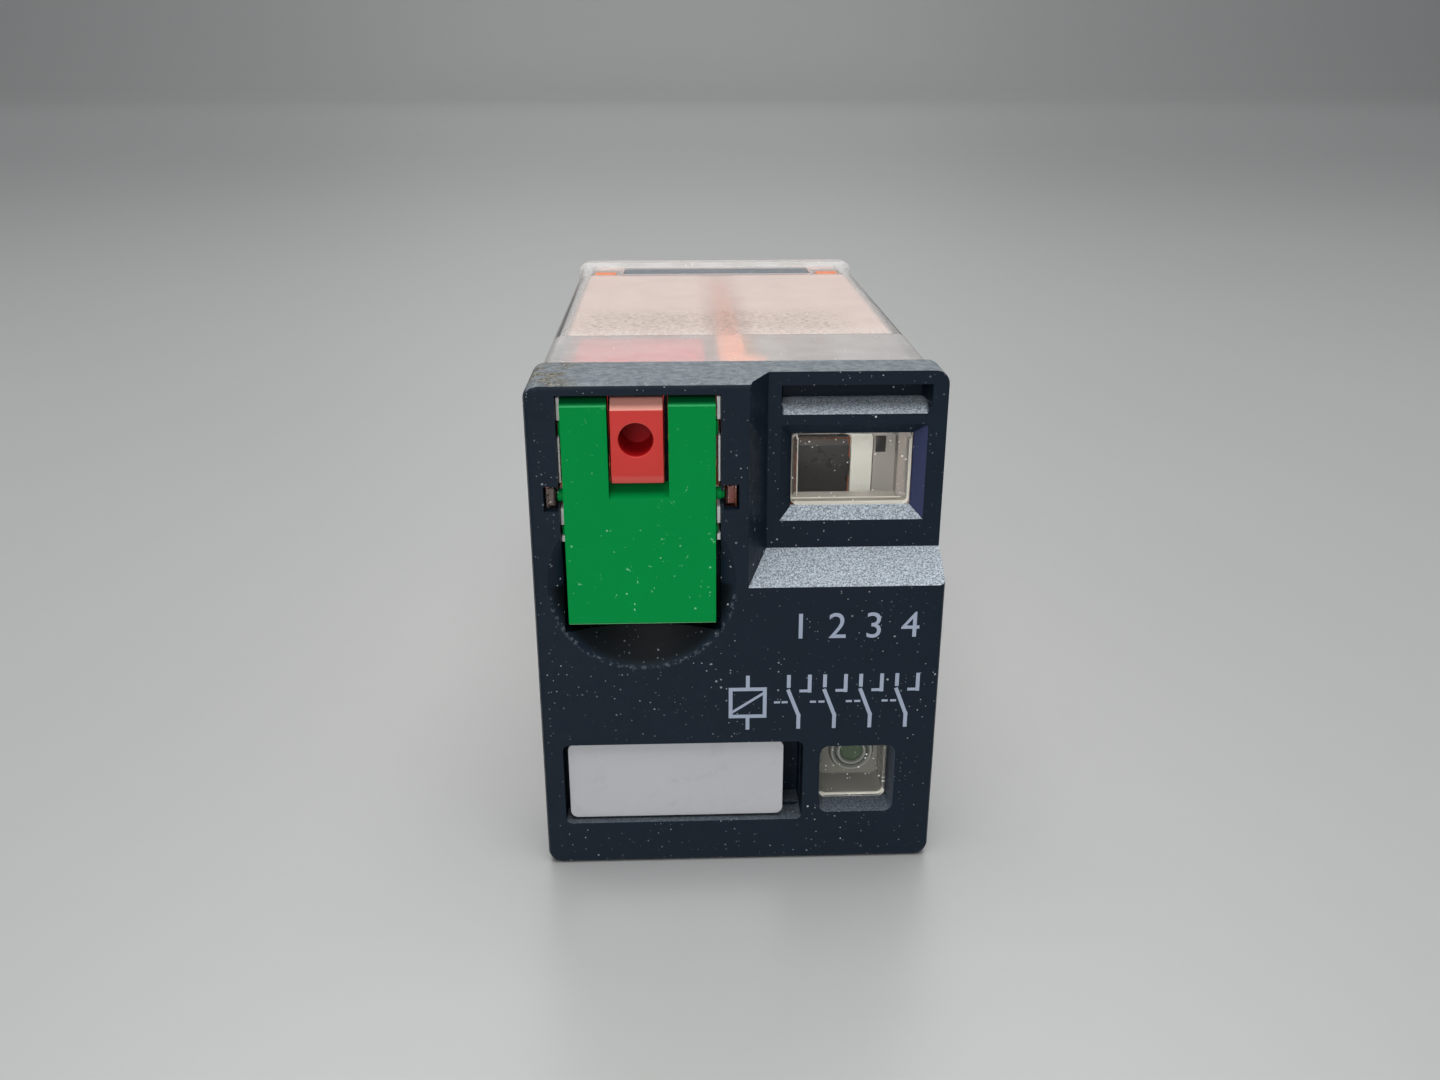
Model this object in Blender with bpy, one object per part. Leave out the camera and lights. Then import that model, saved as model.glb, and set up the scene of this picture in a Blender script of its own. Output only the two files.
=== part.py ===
"""Plug-in miniature control relay with a lockable test button, as its separate pieces.

The front faces -Y, the blades point to +Y and +Z is up. A place is given as (x, depth, height) in
millimetres: x from the middle, depth back from the front face, height up from the underside.
The armature and all that it carries are drawn upright, as when the coil holds them, and hang
from an empty on the armature's hinge that leans them forward into the rest position.
"""
import math

import bmesh
import bpy
from mathutils import Matrix, Vector

MM = 0.001

# Driving dimensions, mm
WIDTH = 21.0
HEIGHT = 27.0
BODY_DEPTH = 40.0
BLADE_LENGTH = 6.0
FRONT_Y = -(BODY_DEPTH + BLADE_LENGTH) / 2

# Front plate and clear cover
PLATE_DEPTH = 4.9
PLATE_WALL = 3.1
CORNER_RADIUS = 0.6
SKIRT_WALL = 0.8
COVER_START = 5.2
COVER_WALL = 0.8
COVER_INSET = 0.25
RIM_DEPTH = 1.5
PLUG_FRONT = 3.4
PLUG_INSET = 1.1

# Upper right recess with its groove and flag window
RECESS_DEPTH = 2.3
RECESS_EDGE = (0.38, 16.37)
RECESS_FLOOR = (1.44, 17.65)
GROOVE_X = (2.1, 9.7)
GROOVE_HEIGHT = (24.8, 26.3)
GROOVE_DEPTH = 4.0
FLAG_WINDOW = (2.7, 8.95, 19.75, 23.65)
FLAG_BEVEL = 0.6

# Lower recess for the legend tab, and the LED window
LEGEND_RECESS = (-9.43, 3.41, 2.57, 7.42)
LEGEND_TAB = (-9.18, 2.37, 2.75, 7.3)
LEGEND_FLOOR = 1.4
LED_WINDOW = (4.4, 8.15, 3.2, 6.95)
LED_CENTRE = (6.5, 4.9)

# Door, its pocket and its hinge
POCKET_X = (-8.88, -1.03)
POCKET_TOP = 26.45
POCKET_THROUGH = 18.6
POCKET_BOTTOM = 14.0
DOOR_X = (-8.78, -1.25)
DOOR_HEIGHT = (14.4, 26.25)
DOOR_DEPTH = (0.1, 1.4)
DOOR_HINGE = (0.75, 21.25)
PIN_RADIUS = 0.26
LUG_X = ((-9.65, -9.1), (-0.78, -0.18))
LUG_HEIGHT = (20.68, 21.82)
LUG_FRONT = 0.3
NOTCH_X = ((-9.4, -8.78), (-1.13, -0.48))

# Test button
BUTTON_X = (-6.37, -3.80)
BUTTON_HEIGHT = (21.94, 26.2)
BUTTON_FACE = (22.44, 25.7)
BUTTON_HOLE = (-5.14, 24.22, 0.87)

# Armature hinge and the lean of the rest position
ARMATURE_HINGE = (15.0, 4.0)
REST_LEAN = math.radians(4.5)

# Contacts: four poles across, in rows up the base
POLE_X = (-6.6, -2.2, 2.2, 6.6)
COIL_X = (-6.6, 6.6)
NC_ROW = 23.6
NO_ROW = 19.5
COM_ROW = 9.5
COIL_ROW = 3.0
BLADE_WIDTH = 2.5
STRIP_WIDTH = 1.6
STRIP_THICKNESS = 0.5
SPRING_DEPTH = (12.5, 12.7)
CONTACT_RADIUS = 0.9
MOVING_CONTACT_HEIGHT = 23.6
NC_CONTACT_HEIGHT = 23.3
NC_LEG_DEPTH = 9.65
NO_LEG_DEPTH = 14.0

# Coil
COIL_HEIGHT = 12.0
CORE_RADIUS = 2.6
FLANGE_HALF = 7.2
WINDING_RADII = (3.3, 6.2)
BASE_FRONT = 36.4

# Latches of the base, on each side, in holes of the cover's top: from x to x, from depth to depth
LATCH = (7.3, 9.05, 34.7, 36.7)
LATCH_TOP = 26.6


# ---------------------------------------------------------------- places, outlines and solids

def point(x, depth, height):
    """World place, in metres, of a place given in millimetres."""
    return Vector((x, FRONT_Y + depth, height)) * MM


def rectangle(x0, x1, z0, z1):
    return [(x0, z0), (x1, z0), (x1, z1), (x0, z1)]


def rounded(x0, x1, z0, z1, radius, steps=3):
    """Rectangle with round corners, each of them an arc in the given number of steps."""
    corners = ((x1 - radius, z1 - radius), (x0 + radius, z1 - radius),
               (x0 + radius, z0 + radius), (x1 - radius, z0 + radius))
    outline = []
    for quarter, (cx, cz) in enumerate(corners):
        for step in range(steps + 1):
            angle = math.pi / 2 * (quarter + step / steps)
            outline.append((cx + radius * math.cos(angle), cz + radius * math.sin(angle)))
    return outline


def circle(cx, cz, radius, segments=24):
    turn = 2 * math.pi / segments
    return [(cx + radius * math.cos(i * turn), cz + radius * math.sin(i * turn)) for i in range(segments)]


def loft(rings):
    """Closed solid through rings of places that have the same number of points."""
    bm = bmesh.new()
    loops = [[bm.verts.new(point(*place)) for place in ring] for ring in rings]
    for lower, upper in zip(loops, loops[1:]):
        for i in range(len(lower)):
            j = (i + 1) % len(lower)
            bm.faces.new((lower[i], lower[j], upper[j], upper[i]))
    bm.faces.new(loops[0][::-1])
    bm.faces.new(loops[-1])
    bmesh.ops.recalc_face_normals(bm, faces=bm.faces)
    return bm


def along_depth(*sections):
    """Solid through sections of (depth, outline of x and height)."""
    return loft([[(x, depth, z) for x, z in outline] for depth, outline in sections])


def along_x(outline, x0, x1):
    """Prism across the relay; the outline is in depth and height."""
    return loft([[(x, depth, z) for depth, z in outline] for x in (x0, x1)])


def along_height(outline, z0, z1):
    """Prism up the relay; the outline is in x and depth."""
    return loft([[(x, depth, z) for x, depth in outline] for z in (z0, z1)])


def box(x0, x1, d0, d1, z0, z1):
    return along_depth((d0, rectangle(x0, x1, z0, z1)), (d1, rectangle(x0, x1, z0, z1)))


def turned(cx, cz, profile, segments=24):
    """Turned solid on an axis along the depth; the profile is a list of (depth, radius)."""
    return along_depth(*[(depth, circle(cx, cz, radius, segments)) for depth, radius in profile])


def rod_across(depth, height, radius, x0, x1, segments=16):
    return along_x(circle(depth, height, radius, segments), x0, x1)


def ball(centre, radius, segments=36):
    bm = bmesh.new()
    bmesh.ops.create_uvsphere(bm, u_segments=segments, v_segments=segments // 2, radius=radius * MM,
                              matrix=Matrix.Translation(point(*centre)))
    return bm


# ---------------------------------------------------------------- objects and materials

def material(name, colour, roughness=0.5, metallic=0.0, alpha=1.0):
    result = bpy.data.materials.new(name)
    result.use_nodes = True
    shader = result.node_tree.nodes["Principled BSDF"]
    shader.inputs["Base Color"].default_value = (*colour, 1.0)
    shader.inputs["Roughness"].default_value = roughness
    shader.inputs["Metallic"].default_value = metallic
    shader.inputs["Alpha"].default_value = alpha
    result.diffuse_color = (*colour, alpha)
    return result


def empty(name, depth, height, x=0.0, lean=0.0):
    """Joint axis: pieces that move about or along it hang from it."""
    result = bpy.data.objects.new(name, None)
    result.location = point(x, depth, height)
    result.rotation_euler = (lean, 0.0, 0.0)
    bpy.context.scene.collection.objects.link(result)
    return result


def add_object(name, bm, parent):
    mesh = bpy.data.meshes.new(name)
    bm.to_mesh(mesh)
    bm.free()
    if parent:
        mesh.transform(Matrix.Translation(-parent.location))
    result = bpy.data.objects.new(name, mesh)
    result.parent = parent
    bpy.context.scene.collection.objects.link(result)
    return result


def piece(name, bm, finish, parent=None, smooth=False):
    """One named solid of the relay."""
    result = add_object(name, bm, parent)
    result.data.materials.append(finish)
    if smooth:
        result.data.shade_smooth()
        result.data.set_sharp_from_angle(angle=math.radians(40))
    return result


def combine(target, operation, solids):
    for number, bm in enumerate(solids):
        tool = add_object(f"{target.name}_{operation.lower()}_{number}", bm, target.parent)
        tool.hide_render = True
        tool.display_type = 'WIRE'
        modifier = target.modifiers.new(tool.name, 'BOOLEAN')
        modifier.operation = operation
        modifier.object = tool


def fuse(target, *solids):
    combine(target, 'UNION', solids)


def cut(target, *solids):
    combine(target, 'DIFFERENCE', solids)


# ---------------------------------------------------------------- housing

def front_plate(finish):
    """Dark moulded front: recesses, windows and the door's pocket, with a skirt behind."""
    half = WIDTH / 2
    edge = 0.3
    outer = rounded(-half, half, 0, HEIGHT, CORNER_RADIUS)
    inner = rounded(edge - half, half - edge, edge, HEIGHT - edge, CORNER_RADIUS)
    plate = piece("front_plate", along_depth((0, inner), (edge, outer), (PLATE_DEPTH, outer)), finish)
    backing_x, backing_z = 1.2, 24.2
    low, high = SKIRT_WALL, HEIGHT - SKIRT_WALL
    side = half - SKIRT_WALL
    hollow = [(-side, low), (side, low), (side, backing_z), (backing_x, backing_z), (backing_x, high),
              (-side, high)]
    cut(plate, along_depth((PLATE_WALL, hollow), (PLATE_DEPTH + 1, hollow)))
    cut_recess(plate)
    cut_pocket(plate)
    cut_low_openings(plate)


def cut_low_openings(plate):
    """LED window with its flared mouth, and the legend recess with the empty slot beside the tab."""
    x0, x1, z0, z1 = LED_WINDOW
    opening = rounded(x0, x1, z0, z1, 0.5)
    mouth = rounded(x0 - 0.1, x1 + 0.25, z0 - 0.25, z1 + 0.15, 0.5)
    cut(plate, along_depth((-0.1, mouth), (0.9, opening), (PLATE_WALL + 0.2, opening)))
    x0, x1, z0, z1 = LEGEND_RECESS
    slot_x, slot_depth = 1.6, 2.6
    tray = rounded(x0, x1, z0, z1, 0.35)
    cut(plate, along_depth((-1, tray), (LEGEND_FLOOR, tray)),
        box(slot_x, x1 - 0.05, LEGEND_FLOOR - 0.5, slot_depth, z0 + 0.2, z1 - 0.2))


def cut_recess(plate):
    """Sunk panel at the upper right with slanted sides, its groove and the flag window."""
    ahead = -0.5
    slope_x = (RECESS_FLOOR[0] - RECESS_EDGE[0]) / RECESS_DEPTH
    slope_z = (RECESS_FLOOR[1] - RECESS_EDGE[1]) / RECESS_DEPTH
    sections = []
    for depth in (ahead, RECESS_DEPTH):
        left = RECESS_EDGE[0] + slope_x * depth
        bottom = RECESS_EDGE[1] + slope_z * depth
        sections.append((depth, rectangle(left, WIDTH, bottom, HEIGHT + 1)))
    low, high = GROOVE_HEIGHT
    start, step = RECESS_DEPTH - 0.3, 1.1
    rise = 0.5
    groove = [(start, low - rise * 0.3 / step), (RECESS_DEPTH + step, low + rise),
              (GROOVE_DEPTH, low + rise), (GROOVE_DEPTH, high), (start, high)]
    x0, x1, z0, z1 = FLAG_WINDOW
    window = rectangle(x0, x1, z0, z1)
    wide = FLAG_BEVEL + 0.1
    mouth = rectangle(x0 - wide, x1 + wide, z0 - wide, z1 + wide)
    cut(plate, along_depth(*sections), along_x(groove, *GROOVE_X),
        along_depth((RECESS_DEPTH - 0.1, mouth), (RECESS_DEPTH + FLAG_BEVEL, window),
                    (PLATE_WALL + 0.2, window)))


def cut_pocket(plate):
    """Door pocket, open to the inside at its top, with a finger scoop at its foot."""
    floor = 1.7
    x0, x1 = POCKET_X
    through = PLATE_WALL + 0.2
    scoop_radius, scoop_depth, scoop_height = 4.79, 1.6, 16.69
    radius = (scoop_radius ** 2 + scoop_depth ** 2) / (2 * scoop_depth)
    cut(plate, box(x0, x1, -1, through, POCKET_THROUGH, POCKET_TOP),
        box(x0, x1, -1, floor, POCKET_BOTTOM, POCKET_THROUGH + 0.1),
        ball(((x0 + x1) / 2, scoop_depth - radius, scoop_height), radius))
    gap = 0.1
    pin_low, pin_high = DOOR_HINGE[1] - PIN_RADIUS - gap, DOOR_HINGE[1] + PIN_RADIUS + gap
    for (lug0, lug1), notch in zip(LUG_X, NOTCH_X):
        cut(plate, box(lug0 - gap, lug1 + gap, -1, through, LUG_HEIGHT[0] - gap, LUG_HEIGHT[1] + gap),
            box(*notch, -1, through, pin_low, pin_high))


def clear_cover(finish):
    """Clear five-sided cover, open at the rear, with a plug, two bosses and the door's lugs in front."""
    half = WIDTH / 2

    def outline(inset, radius=0.6):
        return rounded(inset - half, half - inset, inset, HEIGHT - inset, radius)

    rim = BODY_DEPTH - RIM_DEPTH
    plug, body, flare = outline(PLUG_INSET), outline(COVER_INSET), outline(0)
    cover = piece("clear_cover", along_depth(
        (PLUG_FRONT, plug), (COVER_START, plug), (COVER_START, body), (rim, body), (rim, flare),
        (BODY_DEPTH, flare)), finish)
    inside = COVER_START + COVER_WALL
    wall = PLUG_INSET + COVER_WALL
    side, low, high = half - wall, wall, HEIGHT - wall
    step_x, step_z = 0.4, 23.2
    pocket_gap, pocket_high = 0.07, 26.1
    plug_hollow = [(-side, low), (side, low), (side, step_z), (step_x, step_z), (step_x, high), (-side, high)]
    body_hollow = outline(COVER_INSET + COVER_WALL, 0.4)
    plug_floor = PLUG_FRONT + COVER_WALL
    cut(cover, along_depth((inside, body_hollow), (BODY_DEPTH + 1, body_hollow)),
        along_depth((plug_floor, plug_hollow), (inside + 0.5, plug_hollow)),
        box(0.9, half, PLUG_FRONT - 0.5, COVER_START, 23.9, HEIGHT),
        box(POCKET_X[0] - pocket_gap, POCKET_X[1] + pocket_gap, PLUG_FRONT - 0.5, inside + 0.1,
            POCKET_THROUGH, pocket_high))
    boss(cover, FLAG_WINDOW, 2.75, 0.5, plug_floor)
    boss(cover, LED_WINDOW, 1.0, 0.6, plug_floor)
    inner, outer, near, far = LATCH
    gap = 0.15
    for x0, x1 in ((-outer, -inner), (inner, outer)):
        cut(cover, box(x0 - gap, x1 + gap, near - gap, far + gap, HEIGHT / 2, HEIGHT + 1))
    pin_gap = 0.06
    for x0, x1 in LUG_X:
        fuse(cover, box(x0, x1, LUG_FRONT, PLUG_FRONT + 0.4, *LUG_HEIGHT))
        cut(cover, rod_across(*DOOR_HINGE, PIN_RADIUS + pin_gap, x0 - 0.2, x1 + 0.2))


def boss(cover, window, front, wall, floor):
    """Hollow block of the cover that fills a window of the front plate."""
    gap = 0.12
    x0, x1, z0, z1 = window
    outer = (x0 + gap, x1 - gap, z0 + gap, z1 - gap)
    inner = (outer[0] + wall, outer[1] - wall, outer[2] + wall, outer[3] - wall)
    block, hollow = rounded(*outer, 0.3), rounded(*inner, 0.1)
    fuse(cover, along_depth((front, block), (PLUG_FRONT + 0.3, block)))
    cut(cover, along_depth((front + wall, hollow), (floor + 0.2, hollow)))


def terminal_base(finish):
    """Moulded base that closes the rear: blade slots, upright barrier, latch posts with hooks, yoke seat."""
    side, low, high = 9.2, 1.3, 25.7
    root = BASE_FRONT + 0.5
    barrier, barrier_front, barrier_low = 0.75, 7.0, 21.2
    barrier_head = (-0.6, 1.8, 6.6, 9.0)
    yoke_seat = (-4.0, 4.0, 34.5, root, 4.6, 7.0)
    post_inside, post_front, post_low = 7.7, 34.0, 21.5
    base = piece("terminal_base", box(-side, side, BASE_FRONT, BODY_DEPTH, low, high), finish)
    fuse(base, box(-barrier, barrier, barrier_front, root, barrier_low, high),
         box(*barrier_head, barrier_low, high), box(*yoke_seat),
         box(-side, -post_inside, post_front, root, post_low, high),
         box(post_inside, side, post_front, root, post_low, high))
    for x0, x1 in ((-LATCH[1], -LATCH[0]), (LATCH[0], LATCH[1])):
        fuse(base, box(x0, x1, *LATCH[2:], high - 0.2, LATCH_TOP))
    gap = 0.15
    half = BLADE_WIDTH / 2 + gap
    thick = STRIP_THICKNESS / 2 + gap
    for x, height in blade_places():
        cut(base, box(x - half, x + half, BASE_FRONT - 1, BODY_DEPTH + 1, height - thick, height + thick))
    ledge_low, ledge_side, ledge_back = 24.6, 7.5, BODY_DEPTH - 1.2
    for x0, x1 in ((-ledge_side, -barrier), (barrier, ledge_side)):
        cut(base, box(x0, x1, BASE_FRONT - 1, ledge_back, ledge_low, HEIGHT))


def blade_places():
    rows = [(x, row) for row in (NC_ROW, NO_ROW, COM_ROW) for x in POLE_X]
    return rows + [(x, COIL_ROW) for x in COIL_X]


# ---------------------------------------------------------------- door, button, tab

def test_door(finish, hinge):
    """Lock-down door: a plate with a slot for the button, turning on two side pins."""
    front, back = DOOR_DEPTH
    low, high = DOOR_HEIGHT
    chamfer = 0.35
    outline = [(front, low + chamfer), (front + chamfer, low), (back, low), (back, high),
               (front + chamfer, high), (front, high - chamfer)]
    door = piece("test_door", along_x(outline, *DOOR_X), finish, hinge)
    slot_x, slot_low = (-6.52, -3.56), 21.2
    cut(door, box(*slot_x, -1, back + 1, slot_low, high + 1))
    inside = 0.5
    fuse(door, rod_across(*DOOR_HINGE, PIN_RADIUS, LUG_X[0][0] + 0.1, DOOR_X[0] + inside),
         rod_across(*DOOR_HINGE, PIN_RADIUS, DOOR_X[1] - inside, LUG_X[1][1] - 0.1))


def test_button(finish, slide):
    """Push button with a tool hole, a wide inner body, and a finger that reaches the carrier."""
    front, back = 0.05, 6.8
    low, high = BUTTON_HEIGHT
    face_low, face_high = BUTTON_FACE
    neck_depth, neck_high = 3.2, 24.9
    outline = [(front, face_low), (front + 0.25, low), (back, low), (back, neck_high),
               (neck_depth, neck_high), (neck_depth, high), (front + 0.7, high), (front, face_high)]
    button = piece("test_button", along_x(outline, *BUTTON_X), finish, slide)
    wide_body = (-8.6, -1.6, 6.5, 7.8, 22.6, 25.78)
    apron = (-8.6, -1.6, 7.0, 13.2, 25.48, 25.78)
    stem = (-5.6, -3.9, 6.9, 7.8, 19.7, 23.0)
    finger = (-4.9, -3.9, 7.4, 9.6, 19.7, 21.0)
    fuse(button, box(*wide_body), box(*apron), box(*stem), box(*finger))
    x, z, radius = BUTTON_HOLE
    hole_depth = 2.5
    cut(button, turned(x, z, ((-1, radius + 0.1), (0.25, radius), (hole_depth, radius))))


def legend_tab(finish, slide):
    """Write-on tab with a leg that grips the slot beside it."""
    outline = rounded(*LEGEND_TAB, 0.4)
    face, back = 0.35, 1.1
    tab = piece("legend_tab", along_depth((face, outline), (back, outline)), finish, slide)
    right, low, high = LEGEND_TAB[1:]
    leg_width, leg_end = 0.6, 2.3
    fuse(tab, box(right - leg_width, right - 0.02, back - 0.2, leg_end, low + 0.4, high - 0.4))


# ---------------------------------------------------------------- contacts

def thickened(path, thickness):
    """Outline of a bent strip: its centre line, in depth and height, with square corners."""
    half = thickness / 2
    sides = ([], [])
    for i, place in enumerate(path):
        here = Vector(place)
        before = (here - Vector(path[i - 1])).normalized() if i else None
        after = (Vector(path[i + 1]) - here).normalized() if i + 1 < len(path) else None
        first = before or after
        last = after or before
        normal = Vector((-first.y, first.x)) + Vector((-last.y, last.x))
        normal *= 2 * half / normal.length_squared
        sides[0].append(tuple(here + normal))
        sides[1].append(tuple(here - normal))
    return sides[0] + sides[1][::-1]


def terminal(name, finish, x, path, row, contact=None):
    """Blade with its inner strip; contact is the (depth, height) of a fixed contact's hole."""
    half, strip, thick = BLADE_WIDTH / 2, STRIP_WIDTH / 2, STRIP_THICKNESS / 2
    tip, shoulder, taper = BODY_DEPTH + BLADE_LENGTH, BASE_FRONT - 0.4, 0.5
    blade = [(x - half, shoulder), (x + half, shoulder), (x + half, tip - 1.0), (x + half - taper, tip),
             (x - half + taper, tip), (x - half, tip - 1.0)]
    result = piece(name, along_height(blade, row - thick, row + thick), finish)
    eye = [(x + dx, depth) for dx, depth in circle(0, tip - 2.2, 0.5, 12)]
    cut(result, along_height(eye, row - 1, row + 1))
    fuse(result, along_x(thickened(path, STRIP_THICKNESS * 0.98), x - strip, x + strip))
    if contact:
        depth, height = contact
        cut(result, turned(x, height, ((depth - 1, 0.5), (depth + 1, 0.5)), 12))


def rivet(name, finish, x, height, profile, parent=None):
    piece(name, turned(x, height, profile, 16), finish, parent, smooth=True)


def fixed_contacts(brass, silver):
    """Terminals of the four poles with the contacts riveted to them, and the two coil terminals."""
    inside = BASE_FRONT + 0.2
    jog = 35.3
    face = CONTACT_RADIUS
    for number, x in enumerate(POLE_X, 1):
        over = NC_ROW + 1.5
        closed_path = [(inside, NC_ROW), (jog, NC_ROW), (jog, over), (NC_LEG_DEPTH, over),
                       (NC_LEG_DEPTH, 22.3)]
        terminal(f"nc_terminal_{number}", brass, x, closed_path, NC_ROW, (NC_LEG_DEPTH, NC_CONTACT_HEIGHT))
        over = NO_ROW + 1.1
        open_path = [(inside, NO_ROW), (jog, NO_ROW), (jog, over), (NO_LEG_DEPTH, over), (NO_LEG_DEPTH, 24.6)]
        terminal(f"no_terminal_{number}", brass, x, open_path, NO_ROW, (NO_LEG_DEPTH, MOVING_CONTACT_HEIGHT))
        terminal(f"com_terminal_{number}", brass, x, [(inside, COM_ROW), (jog, COM_ROW)], COM_ROW)
        head = NC_LEG_DEPTH + 0.31
        rivet(f"nc_contact_{number}", silver, x, NC_CONTACT_HEIGHT,
              ((head - 0.75, 0.4), (head, 0.4), (head, face), (head + 0.3, face), (head + 0.42, face - 0.15)))
        head = NO_LEG_DEPTH - 0.31
        rivet(f"no_contact_{number}", silver, x, MOVING_CONTACT_HEIGHT,
              ((head - 0.42, face - 0.15), (head - 0.3, face), (head, face), (head, 0.4), (head + 0.75, 0.4)))
    for number, x in enumerate(COIL_X, 1):
        terminal(f"coil_terminal_{number}", brass, x, [(inside, COIL_ROW), (jog, COIL_ROW)], COIL_ROW)


def moving_contacts(copper, silver, hinge):
    """Four contact springs with a double-faced rivet near the top of each."""
    front, back = SPRING_DEPTH
    half = 1.2
    gap = 0.05
    face = CONTACT_RADIUS
    for number, x in enumerate(POLE_X, 1):
        outline = rounded(x - half, x + half, 9.0, 24.8, 0.4)
        leaf = along_depth((front, outline), (back, outline))
        spring = piece(f"moving_spring_{number}", leaf, copper, hinge)
        cut(spring, turned(x, MOVING_CONTACT_HEIGHT, ((front - 1, 0.5), (back + 1, 0.5)), 12))
        rivet(f"moving_contact_{number}", silver, x, MOVING_CONTACT_HEIGHT,
              ((12.0, face - 0.15), (12.12, face), (front - gap, face), (front - gap, 0.4),
               (back + gap, 0.4), (back + gap, face), (13.08, face), (13.2, face - 0.15)), hinge)


def contact_carrier(finish, hinge):
    """Insulating bar on the armature: a slot for each contact spring, and the button's pad."""
    half, low, high = 8.8, 10.0, 20.0
    slot_half, slot = 1.4, (12.25, 12.95)
    pad = (-4.9, -3.9, 11.2, 12.1, high - 1, 21.3)
    outline = rounded(-half, half, low, high, 0.4)
    carrier = piece("contact_carrier", along_depth((11.6, outline), (13.4, outline)), finish, hinge)
    for x in POLE_X:
        cut(carrier, box(x - slot_half, x + slot_half, *slot, low - 1, high + 1))
    fuse(carrier, box(*pad))


def position_flag(black, cream, hinge):
    """Indicator plate behind the small window, with its light marker, on a stem from the carrier."""
    low, high, front, back = 19.0, 24.2, 7.7, 8.6
    flag = piece("position_flag", box(3.3, 8.9, front, back, low, high), black, hinge)
    stem = (3.7, 5.1)
    arm_back, arm_low, arm_top, black_top = 11.3, 20.7, 21.5, 22.7
    fuse(flag, box(*stem, back - 0.3, arm_back, arm_low, arm_top),
         box(*stem, arm_back - 0.6, arm_back, 16.5, arm_top))
    left, right = 6.3, 7.4
    gap, groove_floor = 0.15, 8.2
    cut(flag, box(left - gap, right + gap, front - 0.5, groove_floor, low - 0.5, high + 0.5),
        box(3.0, left - gap, front - 0.5, back + 0.5, black_top, high + 0.5))
    piece("flag_marker", box(left, right, front - 0.1, groove_floor - 0.2, low, high), cream, hinge)


# ---------------------------------------------------------------- magnet system

def coil(bobbin_finish, wire_finish, tape_finish):
    rear, front = 32.3, 16.5
    flange = 1.0
    half = FLANGE_HALF
    low, high = COIL_HEIGHT - half, COIL_HEIGHT + half
    bore = CORE_RADIUS + 0.15
    square = rounded(-half, half, low, high, 0.8)
    inner, outer = WINDING_RADII
    bobbin = piece("coil_bobbin", along_depth((front, square), (front + flange, square)), bobbin_finish)
    fuse(bobbin, turned(0, COIL_HEIGHT, ((front + 0.5, inner - 0.15), (rear - 0.5, inner - 0.15)), 32),
         along_depth((rear - flange, square), (rear, square)))
    cut(bobbin, turned(0, COIL_HEIGHT, ((front - 1, bore), (rear + 1, bore)), 32))
    gap = 0.3
    span = (front + flange + gap, rear - flange - gap)
    tube("coil_winding", wire_finish, inner, outer, span)
    tube("coil_tape", tape_finish, outer + 0.15, outer + 0.4, span)


def tube(name, finish, inner, outer, span):
    result = piece(name, turned(0, COIL_HEIGHT, [(depth, outer) for depth in span], 40), finish, smooth=True)
    cut(result, turned(0, COIL_HEIGHT, ((span[0] - 1, inner), (span[1] + 1, inner)), 40))


def core(finish):
    face, back = 15.2, 16.2
    result = piece("core", turned(0, COIL_HEIGHT, (
        (face, 3.9), (face + 0.1, 4.0), (back, 4.0), (back, CORE_RADIUS), (34.5, CORE_RADIUS)), 32),
        finish, smooth=True)
    slot_half, slot_floor = 5.0, 15.9
    cut(result, box(-slot_half, slot_half, face - 1, slot_floor, 12.75, 13.65))


def shading_ring(finish):
    """D-shaped copper ring: its bar lies in the slot of the pole face."""
    bar_low, bar_high = 12.9, 13.5

    def half_disc(radius, level, segments=24):
        start = math.asin((level - COIL_HEIGHT) / radius)
        span = math.pi - 2 * start
        return [(radius * math.cos(start + span * i / segments), COIL_HEIGHT + radius * math.sin(
            start + span * i / segments)) for i in range(segments + 1)]

    front, back = 15.3, 15.8
    outer, inner = half_disc(4.9, bar_low), half_disc(4.2, bar_high)
    ring = piece("shading_ring", along_depth((front, outer), (back, outer)), finish)
    cut(ring, along_depth((front - 0.3, inner), (back + 0.3, inner)))


def yoke(finish):
    """Bent iron frame: the armature rocks on its front edge and the core passes its back leg."""
    half = 7.0
    front, back, sheet, low, high = 15.25, 34.1, 1.5, 2.6, 19.0
    outline = [(front, low), (back, low), (back, high), (back - sheet, high), (back - sheet, low + sheet),
               (front, low + sheet)]
    result = piece("yoke", along_x(outline, -half, half), finish)
    spring_lug = (-0.8, 0.8, 23.6, 24.3, 1.3, low + 0.5)
    fuse(result, box(*spring_lug))
    hole = CORE_RADIUS + 0.15
    cut(result, turned(0, COIL_HEIGHT, ((back - sheet - 1, hole), (back + 1, hole)), 32))


def armature(finish, hinge):
    """Iron plate in front of the pole, with a tail below the hinge for the return spring."""
    half, shoulder, tail, low, high = 6.8, 3.2, 1.5, 1.2, 19.0
    corner, thickness = 0.8, 1.3
    outline = [(-tail, low), (tail, low), (tail, shoulder), (half, shoulder), (half, high - corner),
               (half - corner, high), (corner - half, high), (-half, high - corner), (-half, shoulder),
               (-tail, shoulder)]
    back = ARMATURE_HINGE[0]
    piece("armature", along_depth((back - thickness, outline), (back, outline)), finish, hinge)


# ---------------------------------------------------------------- wires and springs

def smooth_path(route, spacing):
    """Points along a smooth curve through the route's own points."""
    places = [Vector(place) for place in route]
    places = [2 * places[0] - places[1], *places, 2 * places[-1] - places[-2]]
    result = []
    for a, b, c, d in zip(places, places[1:], places[2:], places[3:]):
        steps = max(2, round((c - b).length / spacing))
        for i in range(steps):
            t = i / steps
            result.append(0.5 * (2 * b + (c - a) * t + (2 * a - 5 * b + 4 * c - d) * t * t
                                 + (3 * b - a - 3 * c + d) * t ** 3))
    return result + [places[-2]]


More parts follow.
